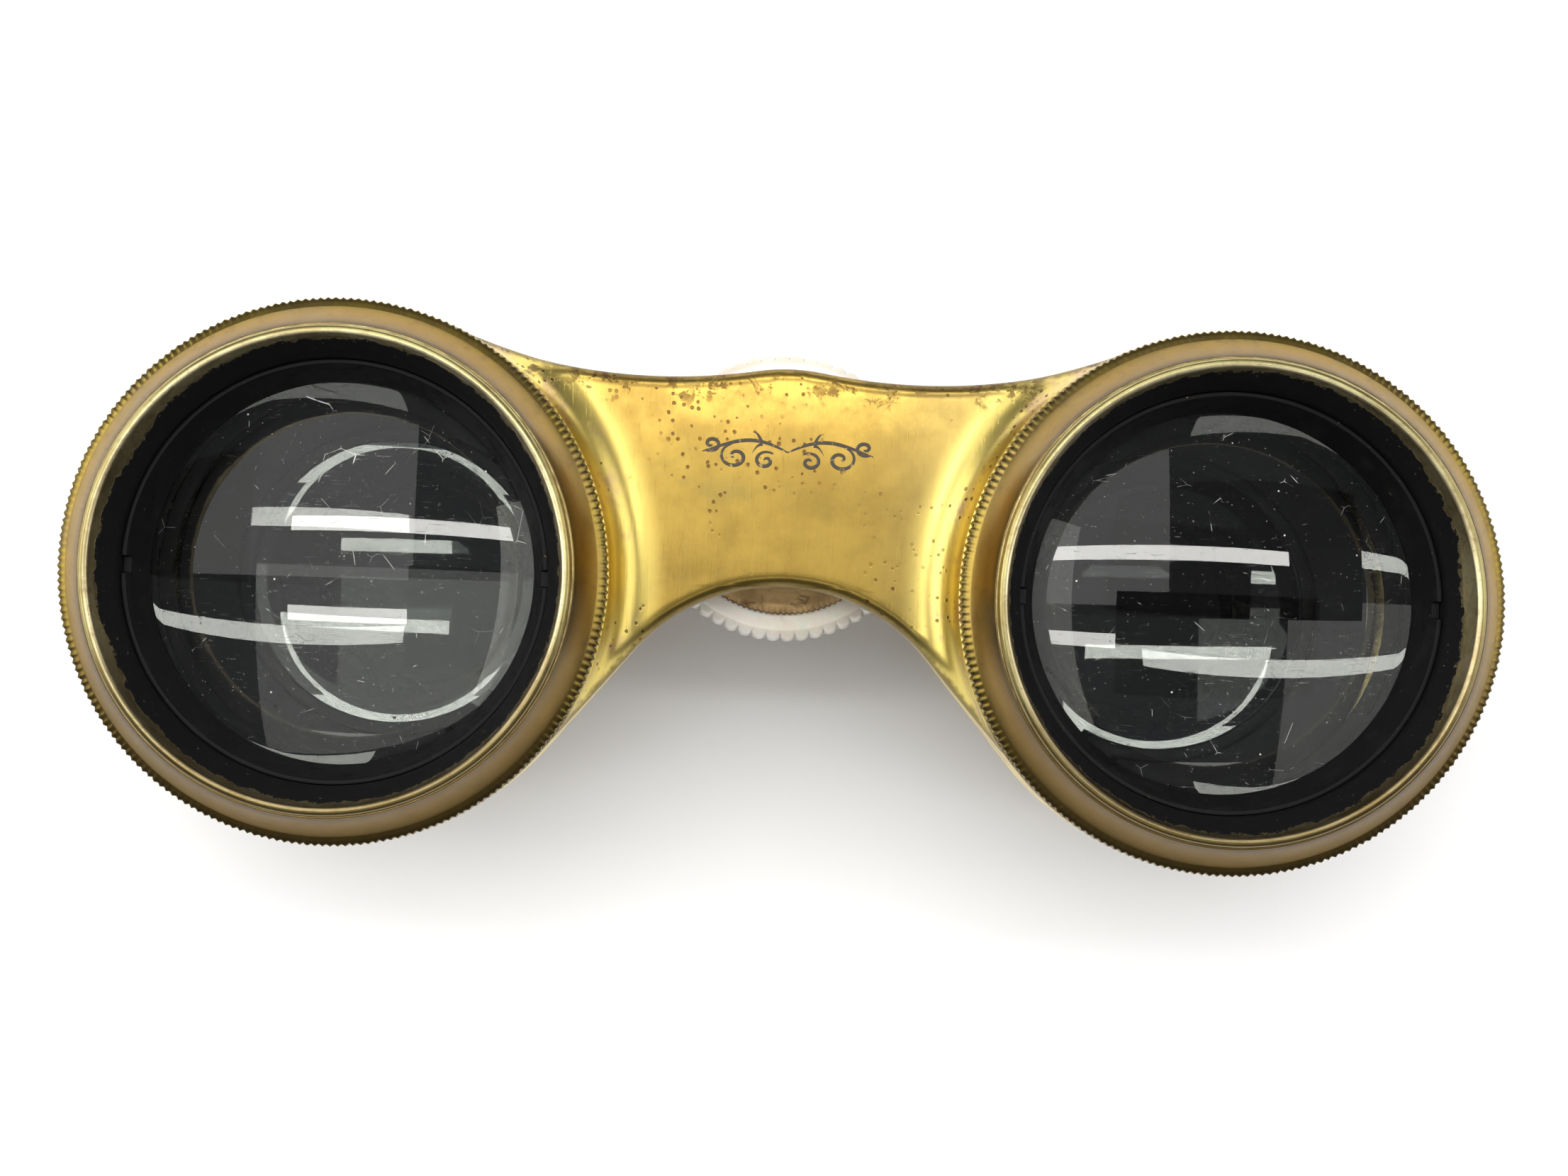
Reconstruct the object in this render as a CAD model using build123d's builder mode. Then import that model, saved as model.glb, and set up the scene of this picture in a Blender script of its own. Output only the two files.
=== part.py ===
"""Opera glasses with centre focusing: every piece of the assembly, focused fully in.

Frame, in millimetres: X runs from the left barrel to the right barrel, Y points from the nose arch
to the top of the glasses, and Z points from the eyecups to the objectives. The glasses stand on
their eyecup rims at Z = 0, midway between the barrels. Left and right are the -X and +X sides.
"""

from build123d import *
from math import atan2, cos, degrees, hypot, radians, sin, sqrt
import os

# ---------------------------------------------------------------- driving sizes, mm
axis_spacing = 62.5            # between the two optical axes
focus_travel = 8.0             # how far the barrels ride out
closing_gap = 0.2              # between the ocular bridge and the barrels when focused in
sheet = 0.85                   # stamped brass of the two body bridges

# lengths along the optical axis, from the eyecup rims up
eyecup_height = 6.4
ocular_bridge_thickness = 2.4
guide_lip_height = 0.6
rear_bridge_height = 4.4
barrel_length = 25.4           # rear bridge face to the front bridge collars
front_bridge_height = 7.2      # skirt edge to collar top
collar_step = 3.5              # collars above the saddle between them
bezel_height = 5.0             # flange underside to rim

# bridge outlines
lobe_margin = 2.3              # body bridge lobes beyond the barrel tubes
ocular_lobe_margin = 2.0       # ocular bridge lobes beyond the draw tubes
saddle_drop = 4.05             # dip of the top edge below the lobes
hump_rise = 0.82               # middle of the top edge above the dips
hump_radius = 14.0
arch_top = 0.15                # nose arch crown above the line of the optical axes
arch_flank = 50.4              # slope of the arch flanks, degrees
collar_fillet = 2.8

# objective lens, its cell and its retainer
objective_radius = 13.95
objective_edge = 2.0
objective_front_curve = 45.3   # radii the two faces are ground to
objective_rear_curve = 114.9
objective_depth = 3.1          # lens edge below the collar top
objective_cement = 0.01        # between the lens and its cell's ledge
cell_wall = 0.8
cell_ledge_reach = 0.75        # how far the cell's ledge reaches under the lens
cell_ledge_height = 0.8
retainer_overlap = 0.39        # how far the retainer reaches over the lens
retainer_gap = 0.15            # between the retainer and the lens edge
retainer_lip = 0.35
retainer_top_edge = 0.3
retainer_proud = 0.6           # retainer above the collar top
notch_length = 1.0
notch_width = 1.2
notch_depth = 0.8

# objective bezel
bezel_wall = 1.0
bezel_ledge = 0.6
bezel_flange_proud = 0.05      # knurled flange beyond the bridge lobe
knurl_height = 1.4
knurl_set_in = 0.7             # slope's foot inside the knurled flange
knurl_bevel = 0.35
slope_radius = 6.0
bead_width = 0.7
bead_groove = 0.2
rim_opening = 1.15             # rim beyond the bezel's bore, the run of the inner cone

# barrels and their pearl covering
tube_wall = 0.8
rear_seat_length = 1.5         # straight stretch of the tube at the rear bridge
front_seat_depth = 1.0         # taper's end inside the front bridge's skirt
pearl_thickness = 1.05
pearl_tuck = 0.6               # how far the pearl reaches under the bridge skirts
pearl_bed = 0.05               # cement under the pearl
stave_count = 8
stave_joint = 0.12             # open joint between neighbouring staves

# draw tubes and eyepieces
draw_tube_radius = 13.6
draw_tube_wall = 0.5
draw_tube_length = 16.8
guide_length = 6.0
guide_wall = 0.4
baffle_width = 1.1
baffle_thickness = 1.2
eyecup_overhang = 1.5          # eyecup beyond the draw tube
eyecup_bevel = 0.3
eyecup_rim_width = 0.7
eyecup_rim_slope = 0.7         # rise and run from the rim into the inlay's seat
eyecup_band = 1.2
eyecup_flange = 0.9
eyecup_flange_set_in = 0.5
eyecup_waist = 1.3             # depth of the waist below the flare
eyecup_web = 1.2
neck_length = 3.0
neck_wall = 1.05
eye_aperture = 6.2
eye_lip = 0.7
inlay_thickness = 1.2
inlay_outer_height = 0.9       # outer edge of the inlay above the eyecup rim's plane
inlay_inner_height = 3.2
ocular_radius = 8.1
ocular_edge = 2.6
ocular_dish_radius = 6.8
ocular_dish_depth = 0.9
ocular_front_height = 12.0     # front of the ocular lens above the eyecup rims
counterbore_step = 0.5
counterbore_depth = 1.0
ocular_retainer_overlap = 0.3

# focusing wheel
spindle_offset = 7.0           # spindle above the line of the optical axes
wheel_radius = 10.8
wheel_width = 6.8              # pearl rim between its two brass discs
wheel_set_back = 0.8           # wheel behind the middle of the hub's collar
disc_radius = 8.86
disc_thickness = 0.6
scallop_count = 60
scallop_depth = 0.42
scallop_overlap = 1.02
hub_radius = 5.2
front_trunnion_radius = 4.2
rear_trunnion_radius = 3.9
bush_wall = 1.5
bush_flange = 0.5
bush_flange_height = 0.8
bush_set_in = 0.1              # front bush inside the front bridge's skirt
rear_bush_proud = 1.5          # rear bush beyond the rear bridge's skirt

# focusing spindle
spindle_radius = 2.2
spindle_flange = 1.0
spindle_flange_height = 0.5
spindle_shank_radius = 2.0
spindle_shank_reach = 1.8      # shank beyond the ocular bridge
stop_radius = 3.0
stop_thickness = 1.2
stop_slot_depth = 0.5
washer_thickness = 0.4
washer_margin = 0.6
cap_radius = 3.4
cap_height = 2.6
cap_skirt = 1.4
cap_slot_depth = 0.7
slot_width = 0.7

# fits
running_fit = 0.05             # radial, where a piece turns or slides
thread_fit = 0.08              # radial, spindle thread in the wheel hub
seat_fit = 0.05                # radial, where a piece is screwed or cemented in
stop_fit = 0.2                 # radial, stop screw in the hub's well
spindle_clearance = 0.4        # radial, spindle in the rear bridge
end_play = 0.2                 # axial, beside the turning wheel hub
stop_reserve = 0.1             # axial, left at the stop when focused out
edge_break = 0.15
overshoot = 1.0                # cutting shapes beyond the piece they cut

# ---------------------------------------------------------------- places worked out from the sizes
half_spacing = axis_spacing / 2
ocular_bridge_top = eyecup_height + ocular_bridge_thickness
guide_lip_z = ocular_bridge_top + closing_gap
rear_face_z = guide_lip_z + guide_lip_height
rear_skirt_z = rear_face_z + rear_bridge_height
collar_z = rear_face_z + barrel_length
front_skirt_z = collar_z - front_bridge_height
saddle_z = collar_z - collar_step
rim_z = collar_z + bezel_height
taper_start_z = rear_face_z + sheet + rear_seat_length
taper_end_z = front_skirt_z + front_seat_depth

# objective end, from the lens outwards
cell_radius = objective_radius + seat_fit + cell_wall
bezel_bore = cell_radius + seat_fit
rim_inner_radius = bezel_bore + rim_opening
bezel_skirt_radius = bezel_bore + bezel_wall
tube_front_bore = bezel_skirt_radius + seat_fit
tube_front_radius = tube_front_bore + tube_wall
front_lobe_radius = tube_front_radius + lobe_margin
bezel_radius = front_lobe_radius + bezel_flange_proud

# eyepiece end, from the draw tube outwards and inwards
guide_bore = draw_tube_radius + running_fit
guide_radius = guide_bore + guide_wall
tube_rear_bore = guide_radius + seat_fit
tube_rear_radius = tube_rear_bore + tube_wall
rear_lobe_radius = tube_rear_radius + lobe_margin
ocular_lobe_radius = draw_tube_radius + ocular_lobe_margin
eyecup_radius = draw_tube_radius + eyecup_overhang
draw_tube_bore = draw_tube_radius - draw_tube_wall
neck_radius = draw_tube_bore - seat_fit
neck_bore = neck_radius - neck_wall
rim_outer = eyecup_radius - eyecup_bevel
rim_inner = rim_outer - eyecup_rim_width
inlay_seat_outer = rim_inner - eyecup_rim_slope
inlay_seat_inner = eye_aperture + eye_lip

# objective stack, from the collar down
retainer_top_z = collar_z + retainer_proud
lens_front_edge_z = collar_z - objective_depth
lens_rear_edge_z = lens_front_edge_z - objective_edge
cell_ledge_radius = objective_radius - cell_ledge_reach
objective_front_sag = objective_front_curve - sqrt(objective_front_curve ** 2 - objective_radius ** 2)
objective_rear_sag = objective_rear_curve - sqrt(objective_rear_curve ** 2 - objective_radius ** 2)
ledge_sag = objective_rear_curve - sqrt(objective_rear_curve ** 2 - cell_ledge_radius ** 2)
cell_ledge_z = lens_rear_edge_z - (objective_rear_sag - ledge_sag) - objective_cement
cell_bottom_z = cell_ledge_z - cell_ledge_height
bezel_bottom_z = cell_bottom_z - bezel_ledge

# focusing spindle and wheel, from the bridges inwards
front_bush_top_z = saddle_z - sheet
front_bush_z = front_skirt_z + bush_set_in
rear_bush_z = rear_face_z + sheet
rear_bush_top_z = rear_skirt_z + rear_bush_proud
hub_bottom_z = rear_bush_z + end_play
hub_collar_z = rear_bush_top_z + end_play
hub_collar_top_z = front_bush_z - end_play
hub_top_z = front_bush_top_z - end_play
stop_top_z = hub_top_z - end_play
stop_z = stop_top_z - stop_thickness
nut_shoulder_z = stop_z - focus_travel - stop_reserve
wheel_rear_z = (hub_collar_z + hub_collar_top_z - wheel_width) / 2 - wheel_set_back
wheel_front_z = wheel_rear_z + wheel_width
shank_z = eyecup_height - spindle_shank_reach
cap_top_z = eyecup_height - washer_thickness
cap_z = cap_top_z - cap_height


# ---------------------------------------------------------------- helpers
def save(piece, name):
    """Label a finished piece and write it as its own STEP file."""
    piece.part.label = name
    export_step(piece.part, f"parts/{name}.step")


def upright_plane(x, y=0.0, turn=0.0):
    """Plane through the upright axis at (x, y): its own x is the radius and its own y is Z."""
    out = (cos(radians(turn)), sin(radians(turn)), 0)
    return Plane(origin=(x, y, 0), x_dir=out, z_dir=(out[1], -out[0], 0))


def turned(x, y, *outline):
    """Turned piece: a closed (radius, Z) outline revolved about the upright axis at (x, y)."""
    with BuildPart() as piece:
        with BuildSketch(upright_plane(x, y)):
            with BuildLine():
                Polyline(*outline, close=True)
            make_face()
        revolve(axis=Axis((x, y, 0), (0, 0, 1)))
    return piece


def ring(x, y, inner, outer, bottom, top):
    """Plain ring, or a disc where the inner radius is zero."""
    return turned(x, y, (inner, bottom), (outer, bottom), (outer, top), (inner, top))


def sphere_radius(rim_radius, sag):
    """Radius of the sphere whose cap has this rim radius and this sag."""
    return (rim_radius ** 2 + sag ** 2) / (2 * sag)


def arc_about(centre, start, end):
    """Arc about a centre from start to end, the short way round."""
    first = degrees(atan2(start[1] - centre[1], start[0] - centre[0]))
    last = degrees(atan2(end[1] - centre[1], end[0] - centre[0]))
    sweep_angle = (last - first + 180) % 360 - 180
    return CenterArc(centre, hypot(start[0] - centre[0], start[1] - centre[1]), first, sweep_angle)


def bridge_face(lobe_radius, inset=0.0):
    """Outline shared by the three bridges, all of its stretches tangent to each other.

    A round lobe about each optical axis, a shallow dip on each side of a middle hump along the
    top, and below them the nose arch: a round crown and two straight flanks.
    """
    lobe = lobe_radius - inset
    hump = hump_radius - inset
    crown = arch_top + inset
    # the flank's unit normal, pointing up and out of the arch, fixes the crown's radius
    across = sin(radians(arch_flank))
    up = cos(radians(arch_flank))
    arch = (across * half_spacing - lobe - up * crown) / (1 - up)
    arch_centre = (0, crown - arch)
    flank_top = (arch * across, arch_centre[1] + arch * up)
    flank_foot = (half_spacing - lobe * across, -lobe * up)
    # the dip touches both the lobe and the hump: its place follows from the two tangencies
    dip_y = lobe - saddle_drop
    share = hump_rise / saddle_drop
    reach = half_spacing ** 2 + dip_y ** 2 - lobe ** 2
    constant = share * reach + 2 * hump_rise * hump - hump_rise ** 2
    slope = share * half_spacing
    dip_x = (sqrt(slope ** 2 + (1 - share) * constant) - slope) / (1 - share)
    dip = (dip_x ** 2 + hump_rise ** 2) / (2 * hump_rise) - hump
    dip_centre = (dip_x, dip_y + dip)
    hump_centre = (0, dip_y + hump_rise - hump)
    to_lobe = hypot(half_spacing - dip_x, dip_centre[1])
    lobe_top = (dip_x + (half_spacing - dip_x) * dip / to_lobe, dip_centre[1] * (1 - dip / to_lobe))
    hump_end = (
        dip_x * hump / (dip + hump),
        hump_centre[1] + (dip_centre[1] - hump_centre[1]) * hump / (dip + hump),
    )
    foot_angle = degrees(atan2(flank_foot[1], flank_foot[0] - half_spacing))
    top_angle = degrees(atan2(lobe_top[1], lobe_top[0] - half_spacing))
    with BuildSketch() as face:
        with BuildLine():
            arc_about(arch_centre, (0, crown), flank_top)
            Line(flank_top, flank_foot)
            CenterArc((half_spacing, 0), lobe, foot_angle, top_angle - foot_angle)
            arc_about(dip_centre, lobe_top, hump_end)
            arc_about(hump_centre, hump_end, (0, dip_y + hump_rise))
            mirror(about=Plane.YZ)
        make_face()
    return face.sketch


# ---------------------------------------------------------------- body: bridges and barrels
def make_front_bridge():
    """Stamped front bridge: hollow shell with a collar round each objective and a saddle between."""
    flare = bezel_radius + collar_fillet
    above = collar_z + overshoot
    below = saddle_z - overshoot
    with BuildPart() as collar_left:
        with BuildSketch(upright_plane(-half_spacing)):
            with BuildLine():
                Polyline((flare, saddle_z), (flare, below), (0, below), (0, above))
                Polyline((0, above), (bezel_radius, above), (bezel_radius, saddle_z + collar_fillet))
                arc_about(
                    (flare, saddle_z + collar_fillet),
                    (bezel_radius, saddle_z + collar_fillet),
                    (flare, saddle_z),
                )
            make_face()
        revolve(axis=Axis((-half_spacing, 0, 0), (0, 0, 1)))
    with BuildPart() as saddle_space:
        with BuildSketch(Plane.XY.offset(saddle_z)):
            Rectangle(axis_spacing, 4 * front_lobe_radius)
        extrude(amount=collar_step + overshoot / 2)
        add(collar_left.part, mode=Mode.SUBTRACT)
        add(collar_left.part.mirror(Plane.YZ), mode=Mode.SUBTRACT)
    with BuildPart() as bridge:
        with BuildSketch(Plane.XY.offset(front_skirt_z)):
            add(bridge_face(front_lobe_radius))
        extrude(amount=front_bridge_height)
        add(saddle_space.part, mode=Mode.SUBTRACT)
        with BuildSketch(Plane.XY.offset(front_skirt_z)):
            add(bridge_face(front_lobe_radius, inset=sheet))
        extrude(amount=saddle_z - sheet - front_skirt_z, mode=Mode.SUBTRACT)
        with BuildSketch(Plane.XY.offset(front_skirt_z)):
            with Locations((-half_spacing, 0), (half_spacing, 0)):
                Circle(front_lobe_radius - sheet)
        extrude(amount=front_bridge_height - sheet, mode=Mode.SUBTRACT)
        with BuildSketch(Plane.XY.offset(front_skirt_z)):
            with Locations((-half_spacing, 0), (half_spacing, 0)):
                Circle(tube_front_radius + seat_fit)
        extrude(amount=front_bridge_height, mode=Mode.SUBTRACT)
    return bridge


def make_rear_bridge():
    """Stamped rear bridge: flat face towards the eyes, skirt towards the objectives."""
    with BuildPart() as bridge:
        with BuildSketch(Plane.XY.offset(rear_face_z)):
            add(bridge_face(rear_lobe_radius))
        extrude(amount=rear_bridge_height)
        with BuildSketch(Plane.XY.offset(rear_face_z + sheet)):
            add(bridge_face(rear_lobe_radius, inset=sheet))
        extrude(amount=rear_bridge_height - sheet, mode=Mode.SUBTRACT)
        with BuildSketch(Plane.XY.offset(rear_face_z)):
            with Locations((-half_spacing, 0), (half_spacing, 0)):
                Circle(tube_rear_bore)
            with Locations((0, spindle_offset)):
                Circle(spindle_radius + spindle_clearance)
        extrude(amount=sheet, mode=Mode.SUBTRACT)
        rear_rim = bridge.edges().group_by(Axis.Z)[0].filter_by(lambda edge: edge.length > 2 * rear_lobe_radius)
        chamfer(rear_rim, length=edge_break)
    return bridge


def make_barrel_tube(x):
    """Tapered brass tube, wider at the objective, with a straight seat at each end."""
    return turned(
        x, 0,
        (tube_rear_bore, rear_face_z + sheet), (tube_rear_radius, rear_face_z + sheet),
        (tube_rear_radius, taper_start_z), (tube_front_radius, taper_end_z),
        (tube_front_radius, collar_z), (tube_front_bore, collar_z),
        (tube_front_bore, taper_end_z), (tube_rear_bore, taper_start_z),
    )


def tube_radius_at(z):
    """Outer radius of the barrel tube at a height."""
    share = (z - taper_start_z) / (taper_end_z - taper_start_z)
    return tube_rear_radius + (tube_front_radius - tube_rear_radius) * min(max(share, 0), 1)


def make_stave(x, turn):
    """One curved pearl stave of a barrel, centred on the direction it is turned to."""
    bottom = rear_skirt_z - pearl_tuck
    top = min(front_skirt_z + pearl_tuck, taper_end_z)
    gap_angle = degrees(stave_joint / tube_rear_radius)
    width_angle = 360 / stave_count - gap_angle
    with BuildPart() as stave:
        with BuildSketch(upright_plane(x, 0, turn - width_angle / 2)):
            with BuildLine():
                Polyline(
                    (tube_radius_at(bottom) + pearl_bed, bottom),
                    (tube_radius_at(bottom) + pearl_bed + pearl_thickness, bottom),
                    (tube_radius_at(top) + pearl_bed + pearl_thickness, top),
                    (tube_radius_at(top) + pearl_bed, top),
                    close=True,
                )
            make_face()
        revolve(axis=Axis((x, 0, 0), (0, 0, 1)), revolution_arc=width_angle)
    return stave


def make_guide_ring(x):
    """Lipped guide screwed into the rear of a barrel; the draw tube slides in it."""
    lip = (tube_rear_radius + rear_lobe_radius) / 2 - sheet / 2
    top = rear_face_z + guide_length
    return turned(
        x, 0,
        (guide_bore, guide_lip_z), (lip, guide_lip_z), (lip, rear_face_z),
        (guide_radius, rear_face_z), (guide_radius, top), (guide_bore, top),
    )


# ---------------------------------------------------------------- body: objective ends
def make_bezel(x):
    """Objective mount: threaded skirt, knurled flange, sloping face, beaded rim and inner cone."""
    band_z = collar_z + knurl_height
    slope_foot = (bezel_radius - knurl_set_in, band_z + knurl_bevel)
    bead_outer = rim_inner_radius + bead_width
    bead_z = rim_z - bead_width / 2
    slope_head = (bead_outer + bead_groove, rim_z - bead_width)
    with BuildPart() as bezel:
        with BuildSketch(upright_plane(x)):
            with BuildLine():
                Polyline(
                    (rim_inner_radius, bead_z), (bezel_bore, band_z),
                    (bezel_bore, cell_bottom_z), (bezel_bore - bezel_ledge, cell_bottom_z),
                    (bezel_bore - bezel_ledge, bezel_bottom_z), (bezel_skirt_radius, bezel_bottom_z),
                    (bezel_skirt_radius, collar_z), (bezel_radius, collar_z),
                    (bezel_radius, band_z), slope_foot,
                )
                RadiusArc(slope_foot, slope_head, slope_radius)
                Polyline(slope_head, (bead_outer, rim_z - bead_width), (bead_outer, bead_z))
                ThreePointArc(
                    (bead_outer, bead_z),
                    ((rim_inner_radius + bead_outer) / 2, rim_z),
                    (rim_inner_radius, bead_z),
                )
            make_face()
        revolve(axis=Axis((x, 0, 0), (0, 0, 1)))
    return bezel


def make_objective_cell(x):
    """Blackened ring with a ledge that carries the objective lens."""
    return turned(
        x, 0,
        (cell_ledge_radius, cell_bottom_z), (cell_radius, cell_bottom_z),
        (cell_radius, lens_front_edge_z), (objective_radius + seat_fit, lens_front_edge_z),
        (objective_radius + seat_fit, cell_ledge_z), (cell_ledge_radius, cell_ledge_z),
    )


def make_objective_lens(x):
    """Biconvex objective with a cylindrical edge."""
    front = objective_front_curve
    rear = objective_rear_curve
    apex = lens_front_edge_z + objective_front_sag
    nadir = lens_rear_edge_z - objective_rear_sag
    with BuildPart() as lens:
        with BuildSketch(upright_plane(x)):
            with BuildLine():
                arc_about((0, apex - front), (0, apex), (objective_radius, lens_front_edge_z))
                Line((objective_radius, lens_front_edge_z), (objective_radius, lens_rear_edge_z))
                arc_about((0, nadir + rear), (objective_radius, lens_rear_edge_z), (0, nadir))
                Line((0, nadir), (0, apex))
            make_face()
        revolve(axis=Axis((x, 0, 0), (0, 0, 1)))
    return lens


def make_lens_retainer(x):
    """Coned screw ring over the objective, with two spanner notches in its top edge."""
    bottom = lens_front_edge_z + retainer_gap
    throat = bottom + retainer_lip
    aperture = objective_radius - retainer_overlap
    with BuildPart() as retainer:
        with BuildSketch(upright_plane(x)):
            with BuildLine():
                Polyline(
                    (aperture, bottom), (cell_radius, bottom), (cell_radius, retainer_top_z),
                    (cell_radius - retainer_top_edge, retainer_top_z), (aperture, throat),
                    close=True,
                )
            make_face()
        revolve(axis=Axis((x, 0, 0), (0, 0, 1)))
        with BuildSketch(Plane(origin=(x, 0, retainer_top_z))):
            with PolarLocations(cell_radius, 2):
                Rectangle(2 * notch_length, notch_width)
        extrude(amount=-notch_depth, mode=Mode.SUBTRACT)
    return retainer


# ---------------------------------------------------------------- focusing wheel
def make_front_bush():
    """Bearing soldered under the saddle for the wheel hub's front trunnion."""
    bore = front_trunnion_radius + running_fit
    return ring(0, spindle_offset, bore, front_trunnion_radius + bush_wall, front_bush_z, front_bush_top_z)


def make_rear_bush():
    """Flanged bearing on the rear bridge for the wheel hub's rear trunnion."""
    bore = rear_trunnion_radius + running_fit
    sleeve = rear_trunnion_radius + bush_wall
    flange = sleeve + bush_flange
    flange_top = rear_bush_z + bush_flange_height
    return turned(
        0, spindle_offset,
        (bore, rear_bush_z), (flange, rear_bush_z), (flange, flange_top),
        (sleeve, flange_top), (sleeve, rear_bush_top_z), (bore, rear_bush_top_z),
    )


def make_wheel_hub():
    """Hub with a threaded lower bore, a wider upper bore for the stop, and a trunnion at each end."""
    thread = spindle_radius + thread_fit
    well = stop_radius + stop_fit
    return turned(
        0, spindle_offset,
        (thread, hub_bottom_z), (rear_trunnion_radius, hub_bottom_z),
        (rear_trunnion_radius, hub_collar_z), (hub_radius, hub_collar_z),
        (hub_radius, hub_collar_top_z), (front_trunnion_radius, hub_collar_top_z),
        (front_trunnion_radius, hub_top_z), (well, hub_top_z),
        (well, nut_shoulder_z), (thread, nut_shoulder_z),
    )


def make_wheel_rim():
    """Pearl rim of the focusing wheel: round lobes side by side all the way round."""
    pitch_radius = wheel_radius - scallop_depth
    lobe = pitch_radius * sin(radians(180 / scallop_count)) * scallop_overlap
    with BuildPart() as rim:
        with BuildSketch(Plane(origin=(0, spindle_offset, wheel_rear_z))):
            Circle(pitch_radius)
            with PolarLocations(wheel_radius - lobe, scallop_count):
                Circle(lobe)
            Circle(hub_radius + seat_fit, mode=Mode.SUBTRACT)
        extrude(amount=wheel_width)
    return rim


def make_wheel_disc(bottom):
    """Brass disc that clamps the pearl rim on the hub."""
    return ring(0, spindle_offset, hub_radius + seat_fit, disc_radius, bottom, bottom + disc_thickness)


# ---------------------------------------------------------------- eyepiece unit
def make_ocular_bridge():
    """Flat bridge that joins the draw tubes and holds the spindle."""
    with BuildPart() as bridge:
        with BuildSketch(Plane.XY.offset(eyecup_height)):
            add(bridge_face(ocular_lobe_radius))
            with Locations((-half_spacing, 0), (half_spacing, 0)):
                Circle(draw_tube_radius + seat_fit, mode=Mode.SUBTRACT)
            with Locations((0, spindle_offset)):
                Circle(spindle_shank_radius + seat_fit, mode=Mode.SUBTRACT)
        extrude(amount=ocular_bridge_thickness)
        outer = [edge for edge in bridge.edges().filter_by(Plane.XY) if edge.length > 2 * ocular_lobe_radius]
        chamfer(outer, length=edge_break)
    return bridge


def make_draw_tube(x):
    """Thin tube that slides in the barrel's guide ring."""
    top = eyecup_height + draw_tube_length
    return ring(x, 0, draw_tube_bore, draw_tube_radius, eyecup_height, top)


def make_baffle(x):
    """Blackened light stop in the front end of a draw tube."""
    top = eyecup_height + draw_tube_length
    return ring(x, 0, draw_tube_bore - baffle_width, draw_tube_bore - seat_fit, top - baffle_thickness, top)


def make_eyecup(x):
    """Flared eyecup: flat rim, pearl seat, eye aperture, waist, flange and threaded neck."""
    neck_top = eyecup_height + neck_length
    seat_low = inlay_outer_height + inlay_thickness
    seat_high = inlay_inner_height + inlay_thickness
    web_top = seat_high + eyecup_web
    flange = eyecup_radius - eyecup_flange_set_in
    flange_z = eyecup_height - eyecup_flange
    with BuildPart() as eyecup:
        with BuildSketch(upright_plane(x)):
            with BuildLine():
                Polyline(
                    (eyecup_radius, eyecup_band), (eyecup_radius, eyecup_bevel), (rim_outer, 0), (rim_inner, 0),
                    (inlay_seat_outer, eyecup_rim_slope), (inlay_seat_outer, seat_low),
                    (inlay_seat_inner, seat_high), (inlay_seat_inner, inlay_inner_height),
                    (eye_aperture, inlay_inner_height + eyecup_bevel), (eye_aperture, web_top),
                    (neck_bore, web_top), (neck_bore, neck_top), (neck_radius, neck_top),
                    (neck_radius, eyecup_height), (flange, eyecup_height), (flange, flange_z),
                )
                ThreePointArc(
                    (flange, flange_z),
                    (eyecup_radius - eyecup_waist, (eyecup_height + eyecup_bevel) / 2),
                    (eyecup_radius, eyecup_band),
                )
            make_face()
        revolve(axis=Axis((x, 0, 0), (0, 0, 1)))
    return eyecup


def make_eyecup_inlay(x):
    """Dished pearl ring inlaid in the eyecup."""
    inner = inlay_seat_inner + seat_fit
    outer = inlay_seat_outer - seat_fit
    back = inlay_thickness - seat_fit
    return turned(
        x, 0,
        (inner, inlay_inner_height), (outer, inlay_outer_height),
        (outer, inlay_outer_height + back), (inner, inlay_inner_height + back),
    )


def make_ocular_cell(x):
    """Blackened cell, screwed into the eyecup neck, that carries the ocular lens."""
    outer = neck_bore - seat_fit
    pocket = ocular_radius + seat_fit
    ledge = ocular_front_height - ocular_edge - seat_fit
    bottom = ledge - cell_ledge_height
    counterbore = ocular_radius + counterbore_step
    top = ocular_front_height + counterbore_depth
    return turned(
        x, 0,
        (ocular_dish_radius, bottom), (outer, bottom), (outer, top), (counterbore, top),
        (counterbore, ocular_front_height), (pocket, ocular_front_height), (pocket, ledge),
        (ocular_dish_radius, ledge),
    )


def make_ocular_lens(x):
    """Biconcave ocular with a flat annulus round each dish."""
    curve = sphere_radius(ocular_dish_radius, ocular_dish_depth)
    front = ocular_front_height
    rear = ocular_front_height - ocular_edge
    with BuildPart() as lens:
        with BuildSketch(upright_plane(x)):
            with BuildLine():
                arc_about(
                    (0, front - ocular_dish_depth + curve), (0, front - ocular_dish_depth),
                    (ocular_dish_radius, front),
                )
                Polyline(
                    (ocular_dish_radius, front), (ocular_radius, front), (ocular_radius, rear),
                    (ocular_dish_radius, rear),
                )
                arc_about(
                    (0, rear + ocular_dish_depth - curve), (ocular_dish_radius, rear),
                    (0, rear + ocular_dish_depth),
                )
                Line((0, rear + ocular_dish_depth), (0, front - ocular_dish_depth))
            make_face()
        revolve(axis=Axis((x, 0, 0), (0, 0, 1)))
    return lens


def make_ocular_retainer(x):
    """Screw ring in front of the ocular lens."""
    inner = ocular_radius - ocular_retainer_overlap
    outer = ocular_radius + counterbore_step - seat_fit
    top = ocular_front_height + counterbore_depth - 2 * seat_fit
    return ring(x, 0, inner, outer, ocular_front_height + seat_fit, top)


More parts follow.
